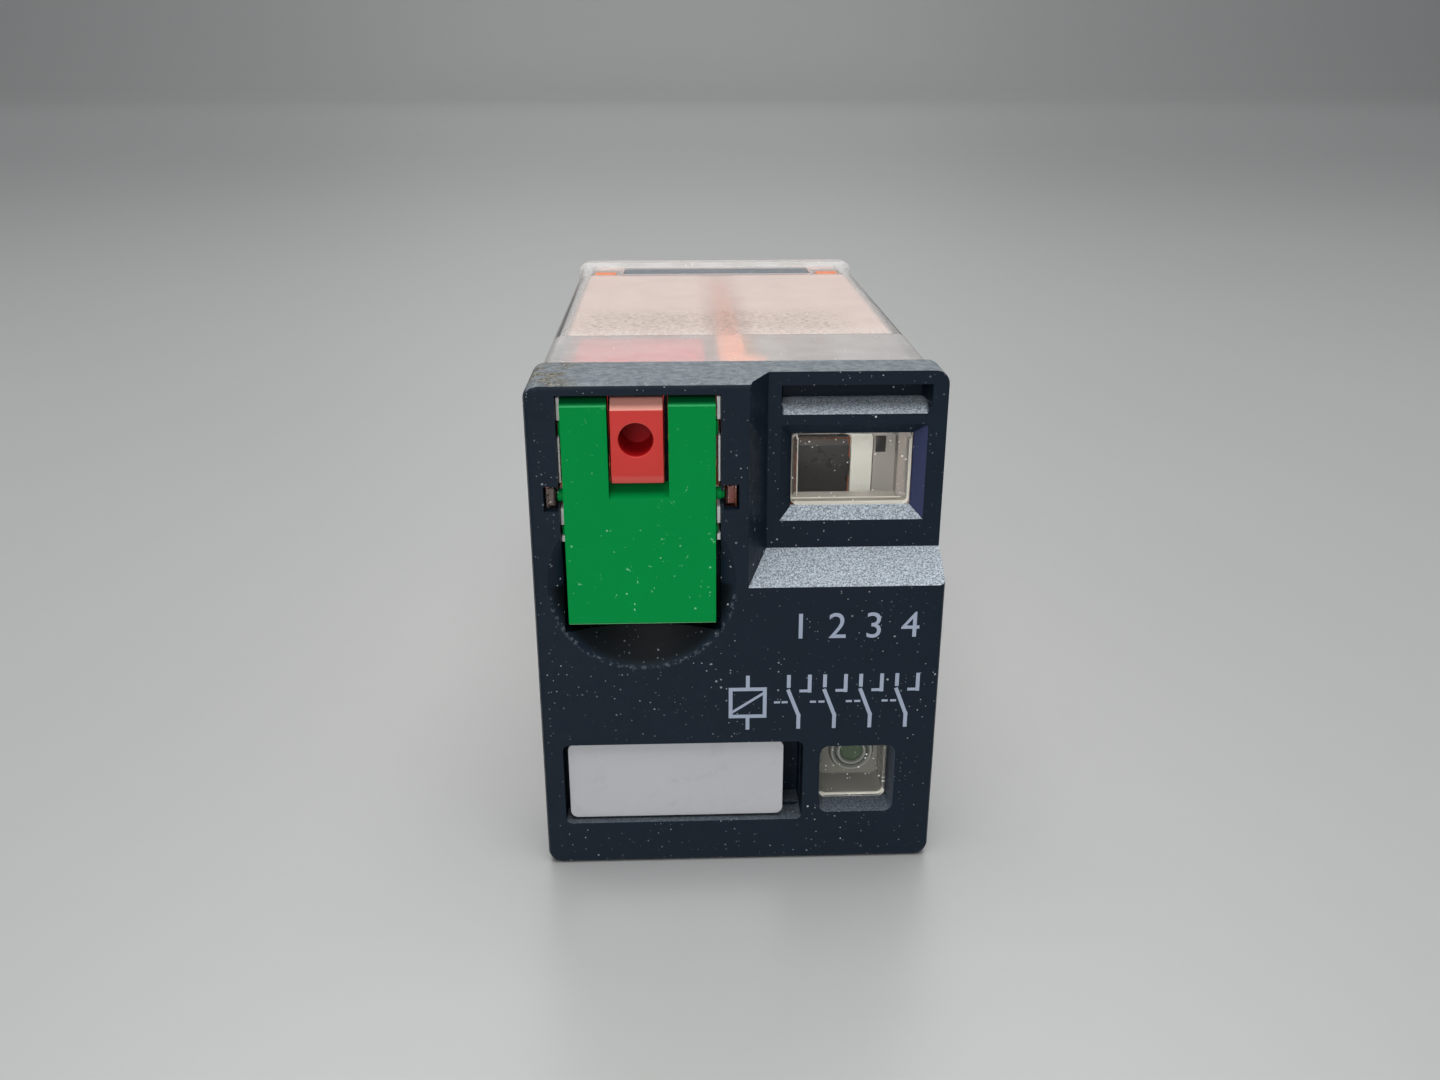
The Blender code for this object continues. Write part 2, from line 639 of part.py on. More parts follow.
def wire(name, finish, places, radius, resolution=1):
    curve = bpy.data.curves.new(name, 'CURVE')
    curve.dimensions = '3D'
    curve.bevel_depth = radius * MM
    curve.bevel_resolution = resolution
    curve.use_fill_caps = True
    spline = curve.splines.new('POLY')
    spline.points.add(len(places) - 1)
    for target, place in zip(spline.points, places):
        target.co = (*point(*place), 1.0)
    curve.materials.append(finish)
    result = bpy.data.objects.new(name, curve)
    bpy.context.scene.collection.objects.link(result)


def return_spring(finish):
    """Tension spring under the yoke, from the armature's tail to the yoke's lug."""
    start, end, height, radius, turns, per_turn = 15.55, 23.3, 1.85, 0.5, 12, 10
    steps = turns * per_turn
    places = []
    for i in range(steps + 1):
        angle = 2 * math.pi * i / per_turn
        depth = start + (end - start) * i / steps
        places.append((radius * math.cos(angle), depth, height + radius * math.sin(angle)))
    wire("return_spring", finish, places, 0.13)


def pigtails(finish):
    """Flexible leads from the foot of each contact spring, round the coil, to its terminal."""
    outer = [(6.6, 11.7, 9.2), (7.8, 11.9, 8.9), (8.5, 13.2, 9.0), (8.75, 15.5, 10.4), (8.75, 20, 11.2),
             (8.75, 29, 11.2), (8.5, 32.5, 11.0), (7.8, 34.6, 10.2), (7.0, 34.8, 9.6)]
    inner = [(2.2, 11.7, 9.2), (3.4, 11.5, 8.5), (5.5, 12.2, 7.9), (8.0, 12.7, 7.5), (8.75, 15, 7.2),
             (8.75, 20, 7.0), (8.75, 29, 7.0), (8.6, 32.5, 7.2), (7.4, 34.7, 7.7), (5.2, 34.75, 8.1),
             (3.4, 34.75, 8.8), (2.6, 34.8, 9.4)]
    for number, (side, route) in enumerate(((-1, outer), (-1, inner), (1, inner), (1, outer)), 1):
        mirrored = [(side * x, depth, height) for x, depth, height in route]
        wire(f"pigtail_{number}", finish, smooth_path(mirrored, 1.0), 0.3)


def coil_leads(finish):
    route = [(6.2, 31.0, 6.0), (7.6, 31.2, 6.2), (8.0, 32.6, 5.6), (7.8, 34.3, 4.2), (7.2, 34.9, 3.2)]
    for number, side in enumerate((-1, 1), 1):
        mirrored = [(side * x, depth, height) for x, depth, height in route]
        wire(f"coil_lead_{number}", finish, smooth_path(mirrored, 0.7), 0.12)


# ---------------------------------------------------------------- indicator lamp

def led(finish):
    """Round-nosed lamp with a flange at its foot."""
    x, z = LED_CENTRE
    radius, tip, steps = 1.5, 4.5, 5
    dome = []
    flange, flange_front, back = 1.85, 7.7, 8.5
    for i in range(steps + 1):
        angle = math.radians(12 + 78 * i / steps)
        dome.append((tip + radius - radius * math.cos(angle), radius * math.sin(angle)))
    dome += [(flange_front, radius), (flange_front, flange), (back, flange)]
    piece("led", turned(x, z, dome), finish, smooth=True)


def led_board(board_finish, resistor_finish, diode_finish):
    """Board behind the lamp, with its dropping resistor and its diode."""
    board = (2.5, 9.2, 8.8, 9.8, 1.4, 8.2)
    diode = (6.2, 8.0, 10.1, 11.2, 2.6, 6.4)
    piece("led_board", box(*board), board_finish)
    x, depth, low, high = 4.2, 11.0, 2.2, 7.2
    ends, waist, tip = 0.8, 0.65, 0.5
    rings = [(low, tip), (low + 0.3, ends), (low + 1.2, ends), (low + 1.6, waist), (high - 1.6, waist),
             (high - 1.2, ends), (high - 0.3, ends), (high, tip)]
    sections = [[(*place, z) for place in circle(x, depth, radius, 16)] for z, radius in rings]
    piece("led_resistor", loft(sections), resistor_finish, smooth=True)
    piece("led_diode", box(*diode), diode_finish)


def led_wires(finish):
    right = [(8.6, 10.4, 2.0), (8.7, 13, 1.8), (8.6, 20, 1.7), (8.5, 32, 1.7), (7.9, 34.4, 1.9),
             (7.2, 34.9, 2.4)]
    left = [(3.2, 10.3, 1.8), (0.5, 11.0, 1.8), (-3.0, 12.4, 1.8), (-5.0, 16.5, 1.7), (-5.6, 24, 1.7),
            (-5.8, 31, 1.7), (-6.2, 34.2, 1.9), (-6.6, 34.8, 2.2)]
    for number, route in enumerate((left, right), 1):
        wire(f"led_wire_{number}", finish, smooth_path(route, 1.2), 0.22)


# ---------------------------------------------------------------- assembly

def main():
    for old in list(bpy.data.objects):
        bpy.data.objects.remove(old)
    dark = material("dark_plastic", (0.014, 0.020, 0.030), 0.45)
    clear = material("clear_plastic", (0.75, 0.75, 0.72), 0.15, alpha=0.35)
    green = material("green_plastic", (0.0, 0.23, 0.045), 0.35)
    red = material("red_plastic", (0.62, 0.045, 0.03), 0.35)
    white = material("white_plastic", (0.50, 0.53, 0.56), 0.5)
    orange = material("orange_insulator", (0.85, 0.25, 0.10), 0.45)
    black = material("black_plastic", (0.01, 0.01, 0.01), 0.4)
    cream = material("cream_plastic", (0.85, 0.83, 0.68), 0.5)
    iron = material("plated_iron", (0.55, 0.55, 0.53), 0.35, 1.0)
    copper = material("copper", (0.80, 0.35, 0.18), 0.3, 1.0)
    enamel = material("copper_winding", (0.55, 0.16, 0.06), 0.35, 0.8)
    brass = material("tinned_brass", (0.68, 0.66, 0.60), 0.3, 1.0)
    silver = material("silver_contact", (0.85, 0.85, 0.84), 0.25, 1.0)
    steel = material("spring_steel", (0.6, 0.6, 0.6), 0.3, 1.0)
    tape = material("yellow_tape", (0.75, 0.50, 0.08), 0.4)
    lamp = material("green_lamp", (0.01, 0.10, 0.05), 0.2)
    board = material("circuit_board", (0.03, 0.13, 0.05), 0.5)
    tan = material("resistor_body", (0.60, 0.42, 0.24), 0.5)
    insulation = material("wire_insulation", (0.05, 0.05, 0.06), 0.5)

    front_plate(dark)
    clear_cover(clear)
    terminal_base(orange)
    test_door(green, empty("door_hinge", *DOOR_HINGE, x=sum(DOOR_X) / 2))
    test_button(red, empty("button_slide", 0, BUTTON_HOLE[1], x=BUTTON_HOLE[0]))
    legend_tab(white, empty("tab_slide", 0, sum(LEGEND_TAB[2:]) / 2, x=sum(LEGEND_TAB[:2]) / 2))

    hinge = empty("armature_hinge", *ARMATURE_HINGE, lean=REST_LEAN)
    armature(iron, hinge)
    contact_carrier(orange, hinge)
    moving_contacts(copper, silver, hinge)
    position_flag(black, cream, hinge)
    fixed_contacts(brass, silver)

    coil(black, enamel, tape)
    core(iron)
    shading_ring(copper)
    yoke(iron)
    return_spring(steel)
    pigtails(copper)
    coil_leads(enamel)
    led(lamp)
    led_board(board, tan, black)
    led_wires(insulation)


main()
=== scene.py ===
"""Looks of a plug-in miniature control relay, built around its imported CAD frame.

A place is given as (x, depth, height) in millimetres: x from the middle, depth back from the front
face, height up from the underside. The frame itself is in metres.
"""
import math

import bmesh
import bpy
from mathutils import Matrix, Vector


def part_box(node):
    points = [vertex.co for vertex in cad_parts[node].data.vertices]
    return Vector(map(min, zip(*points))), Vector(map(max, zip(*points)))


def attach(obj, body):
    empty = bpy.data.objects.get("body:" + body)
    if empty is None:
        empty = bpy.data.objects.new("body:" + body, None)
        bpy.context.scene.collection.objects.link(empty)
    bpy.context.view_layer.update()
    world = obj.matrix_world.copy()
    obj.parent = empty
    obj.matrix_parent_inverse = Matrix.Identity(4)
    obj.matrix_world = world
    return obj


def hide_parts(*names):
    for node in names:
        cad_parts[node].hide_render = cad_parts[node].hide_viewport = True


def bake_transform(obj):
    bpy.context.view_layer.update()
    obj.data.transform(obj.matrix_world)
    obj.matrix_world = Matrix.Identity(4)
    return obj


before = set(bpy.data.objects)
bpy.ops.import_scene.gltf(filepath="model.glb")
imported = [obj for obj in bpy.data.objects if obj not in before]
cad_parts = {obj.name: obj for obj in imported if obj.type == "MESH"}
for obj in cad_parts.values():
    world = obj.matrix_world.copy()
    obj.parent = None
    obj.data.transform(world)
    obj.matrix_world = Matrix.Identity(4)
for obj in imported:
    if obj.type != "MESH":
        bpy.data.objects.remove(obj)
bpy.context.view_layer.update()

MM = 0.001
FRONT_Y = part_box("front_plate")[0][1]
HALF_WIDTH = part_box("front_plate")[1][0] / MM
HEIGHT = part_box("front_plate")[1][2] / MM
PLATE_DEPTH = (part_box("front_plate")[1][1] - FRONT_Y) / MM
COVER_END = (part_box("clear_cover")[1][1] - FRONT_Y) / MM

# Front plate
INK = 0.01
PLATE_WALL = 3.1
RECESS_DEPTH = 2.3
RECESS_EDGE = (0.38, 16.37)
RECESS_FLOOR = (1.44, 17.65)
GROOVE = (2.1, 9.7, 24.8, 26.3)
FLAG_WINDOW = (2.7, 8.95, 19.75, 23.65)
LED_WINDOW = (4.4, 8.15, 3.2, 6.95)
LED_CENTRE = (6.5, 4.9)
LEGEND_RECESS = (-9.43, 3.41, 2.57, 7.42)
POCKET = (-8.98, -1.0, 14.0, 26.45)
POCKET_THROUGH = 18.6
SCOOP = ((POCKET[0] + POCKET[1]) / 2, 16.69, 4.79)
HINGE = (0.75, 21.25)
BUTTON_HOLE = (-5.14, 24.22)
LUGS = ((-9.65, -9.1), (-0.78, -0.18))
LUG_HEIGHT = (20.68, 21.82)

# Holes in the cover's top for the base's latches, on each side, and the sealed groove between them
LATCH_HOLE = (7.15, 9.2, 34.55, 36.85)
SEAL_GROOVE = (-6.9, 6.9, 34.9, 37.9)

# Mechanism
ARMATURE_HINGE = (15.0, 4.0)
REST_LEAN = math.radians(4.5)


# ---------------------------------------------------------------- places and outlines

def place(x, depth, height):
    return Vector((x * MM, FRONT_Y + depth * MM, height * MM))


def rectangle(x0, x1, z0, z1):
    return [(x0, z0), (x1, z0), (x1, z1), (x0, z1)]


def rounded(x0, x1, z0, z1, radius, steps=6):
    corners = ((x1 - radius, z1 - radius), (x0 + radius, z1 - radius),
               (x0 + radius, z0 + radius), (x1 - radius, z0 + radius))
    outline = []
    for quarter, (cx, cz) in enumerate(corners):
        for step in range(steps + 1):
            angle = math.pi / 2 * (quarter + step / steps)
            outline.append((cx + radius * math.cos(angle), cz + radius * math.sin(angle)))
    return outline


def circle(cx, cz, radius, segments=48):
    turn = 2 * math.pi / segments
    return [(cx + radius * math.cos(i * turn), cz + radius * math.sin(i * turn)) for i in range(segments)]


# ---------------------------------------------------------------- solids

def loft(rings):
    """Closed solid through rings of places that have the same number of points."""
    bm = bmesh.new()
    loops = [[bm.verts.new(place(*spot)) for spot in ring] for ring in rings]
    for lower, upper in zip(loops, loops[1:]):
        for i in range(len(lower)):
            j = (i + 1) % len(lower)
            bm.faces.new((lower[i], lower[j], upper[j], upper[i]))
    bm.faces.new(loops[0][::-1])
    bm.faces.new(loops[-1])
    bmesh.ops.recalc_face_normals(bm, faces=bm.faces)
    return bm


def along_depth(*sections):
    return loft([[(x, depth, z) for x, z in outline] for depth, outline in sections])


def along_x(outline, x0, x1):
    return loft([[(x, depth, z) for depth, z in outline] for x in (x0, x1)])


def box(x0, x1, d0, d1, z0, z1):
    return along_depth((d0, rectangle(x0, x1, z0, z1)), (d1, rectangle(x0, x1, z0, z1)))


def turned(cx, cz, profile, segments=48):
    return along_depth(*[(depth, circle(cx, cz, radius, segments)) for depth, radius in profile])


def rod_across(depth, height, radius, x0, x1, segments=32):
    return along_x(circle(depth, height, radius, segments), x0, x1)


def ball(centre, radius, segments=96):
    bm = bmesh.new()
    bmesh.ops.create_uvsphere(bm, u_segments=segments, v_segments=segments // 2, radius=radius * MM,
                              matrix=Matrix.Translation(place(*centre)))
    return bm


def smooth_path(route, spacing):
    """Points along a smooth curve through the route's own points."""
    spots = [Vector(spot) for spot in route]
    spots = [2 * spots[0] - spots[1], *spots, 2 * spots[-1] - spots[-2]]
    result = []
    for a, b, c, d in zip(spots, spots[1:], spots[2:], spots[3:]):
        steps = max(2, round((c - b).length / spacing))
        for i in range(steps):
            t = i / steps
            result.append(0.5 * (2 * b + (c - a) * t + (2 * a - 5 * b + 4 * c - d) * t * t
                                 + (3 * b - a - 3 * c + d) * t ** 3))
    return result + [spots[-2]]


def frames(path):
    """Each point of a path with two directions across it that turn as little as they can."""
    across = Vector((0, 0, 1))
    result = []
    for i, spot in enumerate(path):
        along = (path[min(i + 1, len(path) - 1)] - path[max(i - 1, 0)]).normalized()
        side = across.cross(along)
        side = side.normalized() if side.length > 0.1 else Vector((1, 0, 0))
        across = along.cross(side)
        result.append((spot, side, across))
    return result


def swept(path, radius, segments=10):
    """Round wire along a path of places."""
    rings = []
    for spot, side, across in frames([Vector(spot) for spot in path]):
        rings.append([spot + side * x + across * y for x, y in circle(0, 0, radius, segments)])
    return loft(rings)


def braided(path, radius, strands, pitch):
    """Twisted strands round a path; pitch is the length of one turn."""
    line = frames([Vector(spot) for spot in path])
    core = radius * 0.55
    result = bmesh.new()
    for number in range(strands):
        run, turned_by = [], 2 * math.pi * number / strands
        last = line[0][0]
        for spot, side, across in line:
            turned_by += 2 * math.pi * (spot - last).length / pitch
            last = spot
            run.append(spot + (side * math.cos(turned_by) + across * math.sin(turned_by)) * core)
        strand = bpy.data.meshes.new("strand")
        tube = swept(run, radius - core, 7)
        tube.to_mesh(strand)
        tube.free()
        result.from_mesh(strand)
        bpy.data.meshes.remove(strand)
    return result


def thing(name, bm):
    mesh = bpy.data.meshes.new(name)
    bm.to_mesh(mesh)
    bm.free()
    result = bpy.data.objects.new(name, mesh)
    bpy.context.scene.collection.objects.link(result)
    return result


def evaluated(source):
    return bpy.data.meshes.new_from_object(source.evaluated_get(bpy.context.evaluated_depsgraph_get()))


def shaped(name, base, add=(), remove=()):
    """Mesh object: the base solid with solids fused to it and solids cut from it."""
    target = thing(name, base)
    tools = []
    for operation, solids in (('UNION', add), ('DIFFERENCE', remove)):
        for bm in solids:
            tool = thing("tool", bm)
            modifier = target.modifiers.new("carve", 'BOOLEAN')
            modifier.operation = operation
            modifier.object = tool
            tools.append(tool)
    if tools:
        bpy.context.view_layer.update()
        mesh = evaluated(target)
        target.modifiers.clear()
        target.data = mesh
        for tool in tools:
            bpy.data.objects.remove(tool)
        clean = bmesh.new()
        clean.from_mesh(mesh)
        bmesh.ops.remove_doubles(clean, verts=clean.verts, dist=1e-7)
        bmesh.ops.dissolve_limit(clean, angle_limit=math.radians(1), verts=clean.verts, edges=clean.edges)
        clean.to_mesh(mesh)
        clean.free()
    return target


def soften(target, width, segments=2, angle=30):
    """Rounds the edges and smooths the shading over them."""
    target.data.shade_smooth()
    bevel = target.modifiers.new("edges", 'BEVEL')
    bevel.width = width * MM
    bevel.segments = segments
    bevel.limit_method = 'ANGLE'
    bevel.angle_limit = math.radians(angle)
    bevel.miter_outer = 'MITER_ARC'
    normals = target.modifiers.new("normals", 'WEIGHTED_NORMAL')
    normals.keep_sharp = True
    return target


def dress(target, finish, body, slot, *nodes, edge=0.0, segments=2):
    """Gives a piece its finish, its rounded edges and its body, and hides the CAD nodes it stands for."""
    target.data.materials.clear()
    target.data.materials.append(finish)
    if edge:
        soften(target, edge, segments)
    elif target.type == 'MESH':
        target.data.shade_smooth()
        target.data.set_sharp_from_angle(angle=math.radians(35))
    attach(target, body)
    if nodes:
        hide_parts(*nodes)
    return target


def lean(target):
    """Turns a piece drawn upright, as the coil holds it, into the armature's rest position."""
    pivot = place(0, *ARMATURE_HINGE)
    turn = Matrix.Translation(pivot) @ Matrix.Rotation(REST_LEAN, 4, 'X') @ Matrix.Translation(-pivot)
    target.data.transform(turn)
    return target


# ---------------------------------------------------------------- materials

def make(tree, kind, inputs=None, **settings):
    item = tree.nodes.new(kind)
    for key, value in settings.items():
        setattr(item, key, value)
    for key, value in (inputs or {}).items():
        if isinstance(value, bpy.types.NodeSocket):
            tree.links.new(value, item.inputs[key])
        else:
            item.inputs[key].default_value = value
    return item


class Finish:
    """A Principled material with colour mottling, roughness variation and a fine grain."""

    def __init__(self, name, colour, roughness, metallic=0.0, mottle=0.12, grain=9.0, depth=4.0,
                 stretch=(1, 1, 1)):
        self.material = bpy.data.materials.new(name)
        self.material.use_nodes = True
        self.tree = self.material.node_tree
        self.shader = self.tree.nodes["Principled BSDF"]
        self.shader.inputs["Metallic"].default_value = metallic
        coordinates = make(self.tree, "ShaderNodeTexCoord").outputs["Object"]
        self.mm = make(self.tree, "ShaderNodeMapping",
                       {"Vector": coordinates, "Scale": (1 / MM, 1 / MM, 1 / MM)}).outputs[0]
        stretched = make(self.tree, "ShaderNodeMapping", {"Vector": self.mm, "Scale": stretch}).outputs[0]
        clouds = self.noise(0.45, 3, stretched)
        low = [c * (1 - mottle) for c in colour]
        high = [min(1.0, c * (1 + mottle)) for c in colour]
        self.colour = self.mix(clouds, low, high)
        self.rough = self.span(self.noise(1.7, 4, stretched), 0.35, 0.65,
                               roughness * 0.85, roughness * 1.15)
        self.height = self.noise(grain, 2, stretched)
        self.depth = depth

    def noise(self, scale, detail=2.0, vector=None, distortion=0.0):
        return make(self.tree, "ShaderNodeTexNoise", {
            "Vector": vector or self.mm, "Scale": scale, "Detail": detail,
            "Distortion": distortion}).outputs[0]

    def maths(self, operation, first, second=0.0, clamp=False):
        return make(self.tree, "ShaderNodeMath", {0: first, 1: second}, operation=operation,
                    use_clamp=clamp).outputs[0]

    def span(self, value, low, high, start=0.0, end=1.0):
        return make(self.tree, "ShaderNodeMapRange", {
            "Value": value, "From Min": low, "From Max": high, "To Min": start, "To Max": end}).outputs[0]

    def mix(self, factor, first, second):
        item = make(self.tree, "ShaderNodeMix", data_type='RGBA')
        for socket, value in ((item.inputs[0], factor), (item.inputs[6], first), (item.inputs[7], second)):
            if isinstance(value, bpy.types.NodeSocket):
                self.tree.links.new(value, socket)
            elif isinstance(value, (int, float)):
                socket.default_value = value
            else:
                socket.default_value = (*value[:3], 1.0)
        return item.outputs[2]

    def axes(self):
        """x, depth and height, in millimetres."""
        parts = make(self.tree, "ShaderNodeSeparateXYZ", {0: self.mm}).outputs
        return parts[0], self.maths('SUBTRACT', parts[1], FRONT_Y / MM), parts[2]

    def facing(self, axis):
        """How far the surface faces along an axis: 0 for X, 1 for Y, 2 for Z."""
        normal = make(self.tree, "ShaderNodeNewGeometry").outputs["Normal"]
        return make(self.tree, "ShaderNodeSeparateXYZ", {0: normal}).outputs[axis]

    def distance(self, x, height, centre):
        """Distance across the front from a centre given as (x, height)."""
        across = self.maths('SUBTRACT', x, centre[0])
        up = self.maths('SUBTRACT', height, centre[1])
        return self.maths('SQRT', self.maths('ADD', self.product(across, across), self.product(up, up)))

    def within(self, value, low, high, blur=0.1):
        rise = self.span(value, low - blur, low + blur)
        fall = self.span(value, high - blur, high + blur, 1.0, 0.0)
        return self.maths('MULTIPLY', rise, fall)

    def product(self, *factors):
        result = factors[0]
        for factor in factors[1:]:
            result = self.maths('MULTIPLY', result, factor)
        return result

    def specks(self, per_mm, size, rarity=8.0):
        """Mask of small round specks of mixed sizes."""
        cells = make(self.tree, "ShaderNodeTexVoronoi", {"Vector": self.mm, "Scale": per_mm}, feature='F1')
        chance = make(self.tree, "ShaderNodeSeparateColor", {0: cells.outputs["Color"]}).outputs[0]
        radius = self.maths('MULTIPLY', self.maths('POWER', chance, rarity), size)
        edge = self.maths('SUBTRACT', radius, cells.outputs["Distance"])
        return self.span(edge, 0.0, size * 0.15)

    def tint(self, mask, colour, roughness=None):
        """Paints a colour, and a roughness, where the mask is 1."""
        self.colour = self.mix(mask, self.colour, colour)
        if roughness is not None:
            item = make(self.tree, "ShaderNodeMix", {0: mask, 2: self.rough, 3: roughness}, data_type='FLOAT')
            self.rough = item.outputs[0]

    def raise_by(self, mask, amount):
        self.height = self.maths('ADD', self.height, self.maths('MULTIPLY', mask, amount))

    def set(self, **values):
        for name, value in values.items():
            self.shader.inputs[name.replace("_", " ")].default_value = value
        return self

    def done(self):
        """Links the colour, roughness and bump; depth is the grain's height in micrometres."""
        link = self.tree.links.new
        link(self.colour, self.shader.inputs["Base Color"])
        link(self.rough, self.shader.inputs["Roughness"])
        bump = make(self.tree, "ShaderNodeBump", {
            "Height": self.height, "Strength": 1.0, "Distance": self.depth * 1e-6})
        link(bump.outputs[0], self.shader.inputs["Normal"])
        return self.material


def dark_plastic():
    """Blue-grey moulding: eroded grain with a painted highlight where it faces up, painted light on the sides
    of two windows, painted shade in the scoop, a pale rim round the scoop, dust, and a scuffed top edge.
    """
    f = Finish("dark_plastic", (0.0078, 0.0155, 0.0270), 0.42, mottle=0.10, grain=7.0, depth=7.0)
    x, depth, height = f.axes()
    up = f.span(f.facing(2), 0.30, 0.60)
    top = f.product(f.span(height, HEIGHT - 0.5, HEIGHT - 0.1), up)
    lit_slope = f.maths('SUBTRACT', up, top, clamp=True)
    upper_right = f.product(f.span(height, 8.0, 8.5), f.span(x, 0.2, 0.4))
    lower = f.span(height, 8.5, 8.0, 0.0, 0.22)
    lit_slope = f.product(lit_slope, f.maths('MAXIMUM', upper_right, lower))
    sparkle = f.span(f.noise(11.0, 3), 0.38, 0.62)
    # painted highlight: the up-facing slopes of the recess, groove and window bevel are paler, broken by the
    # grain
    f.tint(f.product(lit_slope, f.span(sparkle, 0, 1, 0.34, 1.0)), (0.56, 0.63, 0.70), 0.5)
    f.raise_by(f.product(lit_slope, sparkle), 2.0)
    scuff = f.span(f.noise(2.4, 7, distortion=0.6), 0.35, 0.65, 0.35, 0.66)
    f.tint(f.product(top, scuff), (0.36, 0.405, 0.435), 0.6)
    f.tint(f.product(top, f.span(f.noise(12.0, 4), 0.60, 0.70, 0.0, 0.55)), (0.56, 0.58, 0.58), 0.7)
    corner = f.product(top, f.span(x, -7.6, -9.2), f.span(f.noise(0.9, 4, distortion=0.4), 0.42, 0.60))
    f.tint(corner, (0.105, 0.095, 0.068), 0.85)
    f.tint(f.product(corner, f.span(f.noise(7.0, 4), 0.53, 0.62)), (0.44, 0.43, 0.385), 0.85)
    # painted light: the flag window's right side, which faces left, is painted lighter blue
    window_side_light = f.product(f.within(x, FLAG_WINDOW[1], FLAG_WINDOW[1] + 0.7, 0.06),
                            f.within(height, FLAG_WINDOW[2] - 0.5, FLAG_WINDOW[3] + 0.5),
                            f.span(f.facing(0), -0.35, -0.55))
    f.tint(window_side_light, (0.050, 0.060, 0.135), 0.35)
    # painted light: the lamp window's right side, which faces left, is painted lighter blue-grey
    lamp_side_light = f.product(f.within(x, LED_WINDOW[1], LED_WINDOW[1] + 0.3, 0.04),
                          f.within(height, LED_WINDOW[2] - 0.3, LED_WINDOW[3] + 0.1),
                          f.span(f.facing(0), -0.15, -0.3))
    f.tint(lamp_side_light, (0.075, 0.095, 0.125), 0.4)
    from_scoop = f.distance(x, height, SCOOP[:2])
    # painted shade: the scoop's hollow is nearly black, as if shaded by the door's lower edge
    hollow = f.product(f.span(from_scoop, SCOOP[2] + 0.02, SCOOP[2] - 0.25), f.span(depth, 0.05, 0.3),
                       f.within(height, 11.9, 16.5, 0.1))
    f.tint(hollow, (0.0012, 0.0036, 0.0050), 0.5)
    # pale broken line along the scoop's rim: dust, and a painted highlight on its edge
    rim = f.product(f.span(f.noise(5.0, 3), 0.50, 0.60, 0.0, 0.35), f.within(height, 11.9, 16.0, 0.1),
                    f.within(from_scoop, SCOOP[2] - 0.13, SCOOP[2] + 0.07, 0.05), f.span(depth, 0.3, 0.05))
    f.tint(rim, (0.20, 0.23, 0.26), 0.6)
    gathered = f.span(f.noise(0.35, 3), 0.45, 0.65, 0.25, 1.0)
    f.tint(f.product(gathered, f.specks(4.0, 0.26, 7.0)), (0.42, 0.46, 0.50), 0.85)
    f.tint(f.product(gathered, f.specks(7.0, 0.30, 9.0)), (0.50, 0.53, 0.56), 0.85)
    f.tint(f.specks(1.6, 0.13, 12.0), (0.62, 0.65, 0.68), 0.85)
    return f.set(Specular_IOR_Level=0.14).done()


def green_plastic():
    """Green moulding with dust, mostly low down, a pale line along its lower edge, a painted highlight on its
    crease and painted shade above it.
    """
    f = Finish("green_plastic", (0.0004, 0.285, 0.058), 0.42, mottle=0.05, grain=6.0, depth=2.0)
    _, depth, height = f.axes()
    front = f.span(f.facing(1), -0.6, -0.9)
    # pale line along the lower edge
    edge = f.product(f.within(height, 14.38, 14.46, 0.03), f.span(depth, 0.5, 0.2))
    f.tint(edge, (0.20, 0.66, 0.30), 0.6)
    # painted highlight: a lighter green line along the crease
    crease_highlight = f.product(f.within(height, 25.87, 25.93, 0.03), f.span(depth, 0.5, 0.2))
    f.tint(crease_highlight, (0.06, 0.50, 0.18), 0.5)
    low = f.span(height, 24.0, 16.0, 0.15, 1.0)
    f.tint(f.product(front, low, f.specks(2.6, 0.18, 6.0)), (0.22, 0.66, 0.34), 0.8)
    f.tint(f.product(front, low, f.specks(1.5, 0.10, 6.0)), (0.50, 0.80, 0.58), 0.8)
    scratch = f.span(f.noise(1.0, 2, distortion=3.0), 0.685, 0.70)
    f.tint(f.product(front, low, scratch, f.span(f.noise(6.0, 3), 0.5, 0.6)), (0.25, 0.70, 0.38), 0.8)
    # painted shade: the top chamfer above the crease is darker, as under the plate's top edge
    f.tint(f.span(height, 25.93, 26.05), (0.0004, 0.11, 0.03))
    return f.set(Specular_IOR_Level=0.05).done()


def red_plastic():
    """Red moulding, with painted light on its slanted ends, pale worn specks, and painted shade inside its
    tool hole.
    """
    f = Finish("red_plastic", (0.66, 0.046, 0.038), 0.40, mottle=0.06, grain=7.0, depth=2.5)
    x, depth, height = f.axes()
    outside = f.span(depth, 1.6, 1.2)
    # painted highlight: the upper slanted end is paler pink, as if lit from above the front
    lit_top_chamfer = f.product(outside, f.span(height, 25.66, 25.72), f.span(f.facing(2), 0.35, 0.6))
    f.tint(lit_top_chamfer, (1.0, 0.44, 0.36), 0.5)
    # painted light: the lower slanted end, which faces down, is paler red, as if lit by reflected light
    f.tint(f.product(outside, f.span(f.facing(2), -0.1, -0.25)), (0.74, 0.10, 0.085), 0.5)
    f.tint(f.product(outside, f.specks(3.0, 0.18, 7.0)), (0.88, 0.40, 0.34), 0.8)
    # painted shade: dark red inside the tool hole
    hole_shade = f.product(f.span(f.distance(x, height, BUTTON_HOLE), 0.865, 0.855), f.span(depth, 0.1, 0.22))
    f.tint(hole_shade, (0.42, 0.004, 0.008), 0.5)
    return f.set(Specular_IOR_Level=0.25).done()


def white_plastic():
    """White marking tab with a few faint smudges."""
    f = Finish("white_plastic", (0.535, 0.54, 0.56), 0.42, mottle=0.02, grain=5.0, depth=2.0)
    smudge = f.span(f.noise(0.5, 5, distortion=1.5), 0.54, 0.76, 0.0, 0.45)
    f.tint(f.product(smudge, f.span(f.noise(3.0, 4), 0.35, 0.65)), (0.38, 0.375, 0.37), 0.6)
    return f.done()


